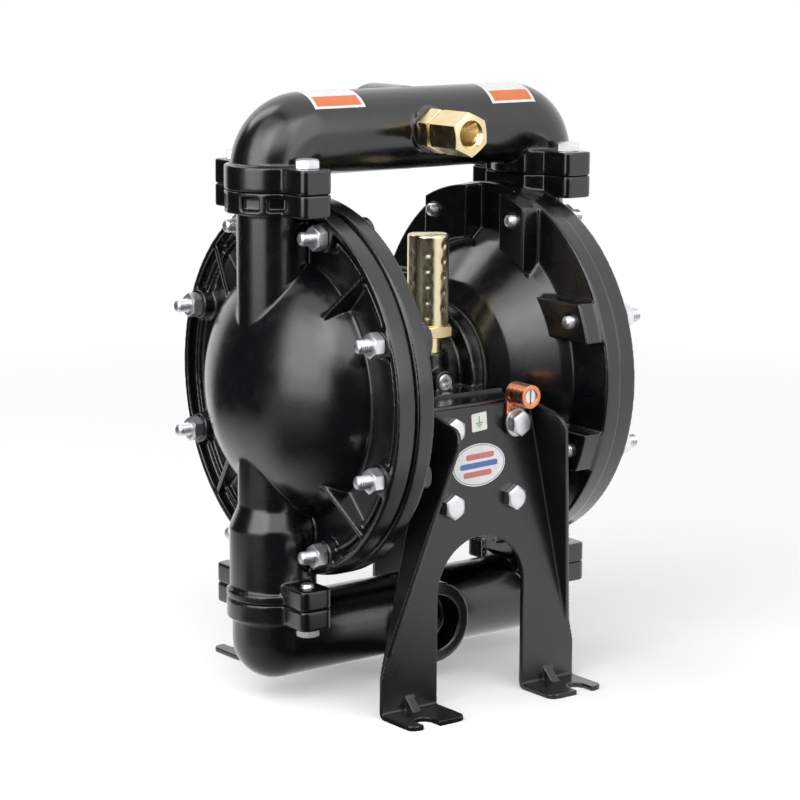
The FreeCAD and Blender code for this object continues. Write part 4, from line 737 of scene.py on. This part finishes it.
def plate_label(name, middle, outline, material, lift=PRINT_LIFT, inner=None):
    """A flat label on the bracket's front, with outline, and inner for a ring, as points about middle."""
    x, z = middle
    face, _ = on_plate(Vector((x, BEFORE_PLATE, z)) * MM, REAR)
    front, back = face.y / MM - lift, face.y / MM + SUNK
    loops = [(outline, back), (outline, front)]
    if inner:
        loops += [(inner, front), (inner, back)]
    points = np.array([(x + px, y, z + pz) for loop, y in loops for px, pz in loop])
    count = len(outline)
    faces = band_faces(len(loops), count, closed=bool(inner))
    if not inner:
        faces += [tuple(range(count)), tuple(range(count, 2 * count))]
    paint(piece_of_skins(name, [(points, faces)], "sheet_paint"), material)


OVAL_POINTS = 64


def box_outline(half_x, half_z, turn, at=(0, 0), round_by=0.8):
    """A rectangle with rounded corners at that place, turned in degrees about the label's middle."""
    corners = []
    for sx, sz, start in ((1, 1, 0), (-1, 1, 90), (-1, -1, 180), (1, -1, 270)):
        for step in (0, 30, 60, 90):
            angle = math.radians(start + step)
            corners.append((sx * (half_x - round_by) + round_by * math.cos(angle) + at[0],
                            sz * (half_z - round_by) + round_by * math.sin(angle) + at[1]))
    cos, sin = math.cos(math.radians(turn)), math.sin(math.radians(turn))
    return [(cos * px - sin * pz, sin * px + cos * pz) for px, pz in corners]


def oval_outline(half_x, half_z):
    angles = [2 * math.pi * k / OVAL_POINTS for k in range(OVAL_POINTS)]
    return [(half_x * math.cos(a), half_z * math.sin(a)) for a in angles]


# The earth mark: half width, half height and height of each bar
EARTH_LABEL = (-2.8, 167.8)
EARTH_TURN = 4.7
EARTH_BARS = {
    "stem": (0.3, 2.0, 1.6),
    "long": (2.6, 0.3, -0.6),
    "middle": (1.7, 0.3, -1.8),
    "short": (0.8, 0.3, -3.0),
}
plate_label("earth_label", EARTH_LABEL, box_outline(5.6, 5.4, EARTH_TURN), label_white, LABEL_LIFT)
for name, (half_x, half_z, height) in EARTH_BARS.items():
    bar = box_outline(half_x, half_z, EARTH_TURN, (0, height), 0.15)
    plate_label(f"earth_{name}", EARTH_LABEL, bar, label_green)

# The oval label: a ring and three bands, with half the width and the place of each band
OVAL_LABEL = (-2.8, 142.3)
OVAL_TURN = 2
BANDS = {
    "upper": (10.5, (1.0, 5.2), label_red),
    "middle": (14.0, (0.0, 0.0), label_blue),
    "lower": (10.5, (-1.0, -5.2), label_red),
}
plate_label("oval_label", OVAL_LABEL, oval_outline(19.6, 12.7), label_white, LABEL_LIFT)
plate_label("oval_ring", OVAL_LABEL, oval_outline(18.9, 12.0), label_blue, inner=oval_outline(18.5, 11.6))
for name, (half_x, at, material) in BANDS.items():
    plate_label(f"oval_{name}_band", OVAL_LABEL, box_outline(half_x, 1.7, OVAL_TURN, at, 1.3), material)


# Floor, world and lamps, in metres
FLOOR_HALF = 9.0
FLOOR_COLOUR = (0.86, 0.86, 0.86)
# How much the floor is lifted, and from where to where it passes to plain white
FLOOR_LIFT = 0.25
FLOOR_WHITE_START, FLOOR_WHITE_END = 0.35, 1.3
WORLD_LIGHT = 0.34
# Parts of the backdrop seen in gloss: azimuth in degrees, and the cosines between which each fades in
DARK_WALL = (-87, 0.04, 0.2)
DARK_NEAR_FLOOR = (-52, 0.45, 0.7)
DARK_UNDER = (-35, 0.3, 0.95)
LIT_FLOOR = (-87, 0.87, 0.95)
DARK_ROOM = 0.02
LIT_FLOOR_LEVEL = 0.4
# How far out the floor's gloss passes from the part under the pump to the near part, and on to the far one
UNDER, NOT_UNDER = 0.2, 0.31
NEAR_FLOOR, FAR_FLOOR = 0.3, 0.7
SCENE_MIDDLE = Vector((0, 0, 0.18))
LAMP_AWAY = 2.4


def glossy_or_clear(tree, path):
    """1 for the rays that show the background in gloss and in glass."""
    made = node(tree, "ShaderNodeMath", operation="MAXIMUM")
    tree.links.new(path.outputs["Is Glossy Ray"], made.inputs[0])
    tree.links.new(path.outputs["Is Transmission Ray"], made.inputs[1])
    return made.outputs[0]


def background_in_gloss(tree, direction, part, outside=1.0, inside=DARK_ROOM):
    """The glow of a backdrop with one level outside a part and another inside it."""
    azimuth, outside_until, inside_from = part
    towards = node(tree, "ShaderNodeVectorMath", operation="DOT_PRODUCT")
    tree.links.new(direction, towards.inputs[0])
    towards.inputs[1].default_value = direction_of(math.radians(azimuth), 0)
    strength = span(tree, towards.outputs["Value"], outside, inside, outside_until, inside_from)
    shown = tree.nodes.new("ShaderNodeEmission")
    shown.inputs["Color"].default_value = (1, 1, 1, 1)
    tree.links.new(strength, shown.inputs["Strength"])
    return shown.outputs[0]


def mixed(tree, fac, first, second):
    mix = tree.nodes.new("ShaderNodeMixShader")
    tree.links.new(fac, mix.inputs[0])
    tree.links.new(first, mix.inputs[1])
    tree.links.new(second, mix.inputs[2])
    return mix.outputs[0]


def make_floor():
    """A pale floor that keeps its shadow, lifted to white for the camera."""
    h = FLOOR_HALF
    mesh = bpy.data.meshes.new("floor")
    mesh.from_pydata([(-h, -h, 0), (h, -h, 0), (h, h, 0), (-h, h, 0)], [], [(0, 1, 2, 3)])
    floor = bpy.data.objects.new("floor", mesh)
    bpy.context.scene.collection.objects.link(floor)
    material, tree, shader = new_material("pale_floor")
    shader.inputs["Base Color"].default_value = (*FLOOR_COLOUR, 1)
    shader.inputs["Roughness"].default_value = 0.9
    shader.inputs["Specular IOR Level"].default_value = 0.0
    lift = tree.nodes.new("ShaderNodeEmission")
    lift.inputs["Strength"].default_value = FLOOR_LIFT
    lifted = tree.nodes.new("ShaderNodeAddShader")
    tree.links.new(shader.outputs[0], lifted.inputs[0])
    tree.links.new(lift.outputs[0], lifted.inputs[1])
    white = tree.nodes.new("ShaderNodeEmission")
    length = node(tree, "ShaderNodeVectorMath", operation="LENGTH")
    tree.links.new(position(tree), length.inputs[0])
    away = span(tree, length.outputs["Value"], 0, 1, FLOOR_WHITE_START, FLOOR_WHITE_END)
    seen = mixed(tree, away, lifted.outputs[0], white.outputs[0])
    path = tree.nodes.new("ShaderNodeLightPath")
    plain = mixed(tree, path.outputs["Is Camera Ray"], shader.outputs[0], seen)
    direction = node(tree, "ShaderNodeVectorMath", operation="NORMALIZE")
    tree.links.new(position(tree), direction.inputs[0])
    near = background_in_gloss(tree, direction.outputs["Vector"], DARK_NEAR_FLOOR)
    under = background_in_gloss(tree, direction.outputs["Vector"], DARK_UNDER)
    under = mixed(tree, span(tree, length.outputs["Value"], 0, 1, UNDER, NOT_UNDER), under, near)
    far = tree.nodes.new("ShaderNodeAddShader")
    tree.links.new(background_in_gloss(tree, direction.outputs["Vector"], DARK_WALL), far.inputs[0])
    lit = background_in_gloss(tree, direction.outputs["Vector"], LIT_FLOOR, 0, LIT_FLOOR_LEVEL)
    tree.links.new(lit, far.inputs[1])
    out_there = span(tree, length.outputs["Value"], 0, 1, NEAR_FLOOR, FAR_FLOOR)
    gloss = mixed(tree, out_there, under, far.outputs[0])
    output = next(n for n in tree.nodes if n.type == "OUTPUT_MATERIAL")
    tree.links.new(mixed(tree, glossy_or_clear(tree, path), plain, gloss), output.inputs[0])
    mesh.materials.append(material)


def make_world():
    """White for the camera, the backdrop in gloss, and an even light for the rest."""
    world = bpy.data.worlds.new("studio")
    bpy.context.scene.world = world
    world.use_nodes = True
    tree = world.node_tree
    tree.nodes.clear()
    output = tree.nodes.new("ShaderNodeOutputWorld")
    path = tree.nodes.new("ShaderNodeLightPath")
    light = tree.nodes.new("ShaderNodeBackground")
    light.inputs["Strength"].default_value = WORLD_LIGHT
    white = tree.nodes.new("ShaderNodeBackground")
    for background in (light, white):
        background.inputs["Color"].default_value = (1, 1, 1, 1)
    plain = mixed(tree, path.outputs["Is Camera Ray"], light.outputs[0], white.outputs[0])
    gloss = background_in_gloss(tree, node(tree, "ShaderNodeTexCoord").outputs["Generated"], DARK_WALL)
    tree.links.new(mixed(tree, glossy_or_clear(tree, path), plain, gloss), output.inputs[0])


def softbox(name, azimuth, elevation, across, tall, level, away=LAMP_AWAY):
    """A soft lamp as the object sees it: its direction and its size in degrees, and its brightness."""
    data = bpy.data.lights.new(name, "AREA")
    data.shape = "RECTANGLE"
    data.size = 2 * away * math.tan(math.radians(across / 2))
    data.size_y = 2 * away * math.tan(math.radians(tall / 2))
    data.energy = level * math.pi * data.size * data.size_y
    made = bpy.data.objects.new(name, data)
    bpy.context.scene.collection.objects.link(made)
    direction = direction_of(math.radians(azimuth), math.radians(elevation))
    made.location = SCENE_MIDDLE + away * direction
    made.rotation_mode = "QUATERNION"
    made.rotation_quaternion = (-direction).to_track_quat("-Z", "Y")
    made.visible_camera = False


bpy.context.scene.view_settings.view_transform = "Standard"
make_camera()
make_floor()
make_world()
softbox("left_edge", -79, 31, 52, 80, 1.1, 1.3)
softbox("left_middle", -79, 25, 43, 54, 1.0, 1.35)
softbox("left_core", -82, 25, 30, 36, 1.0, 1.4)
softbox("front_edge", -33, 43, 62, 44, 1.0)
softbox("front_core", -35, 43, 42, 30, 1.2)
softbox("right", 17, 30, 36, 50, 1.1)
softbox("back", -158, 52, 16, 36, 2.8)
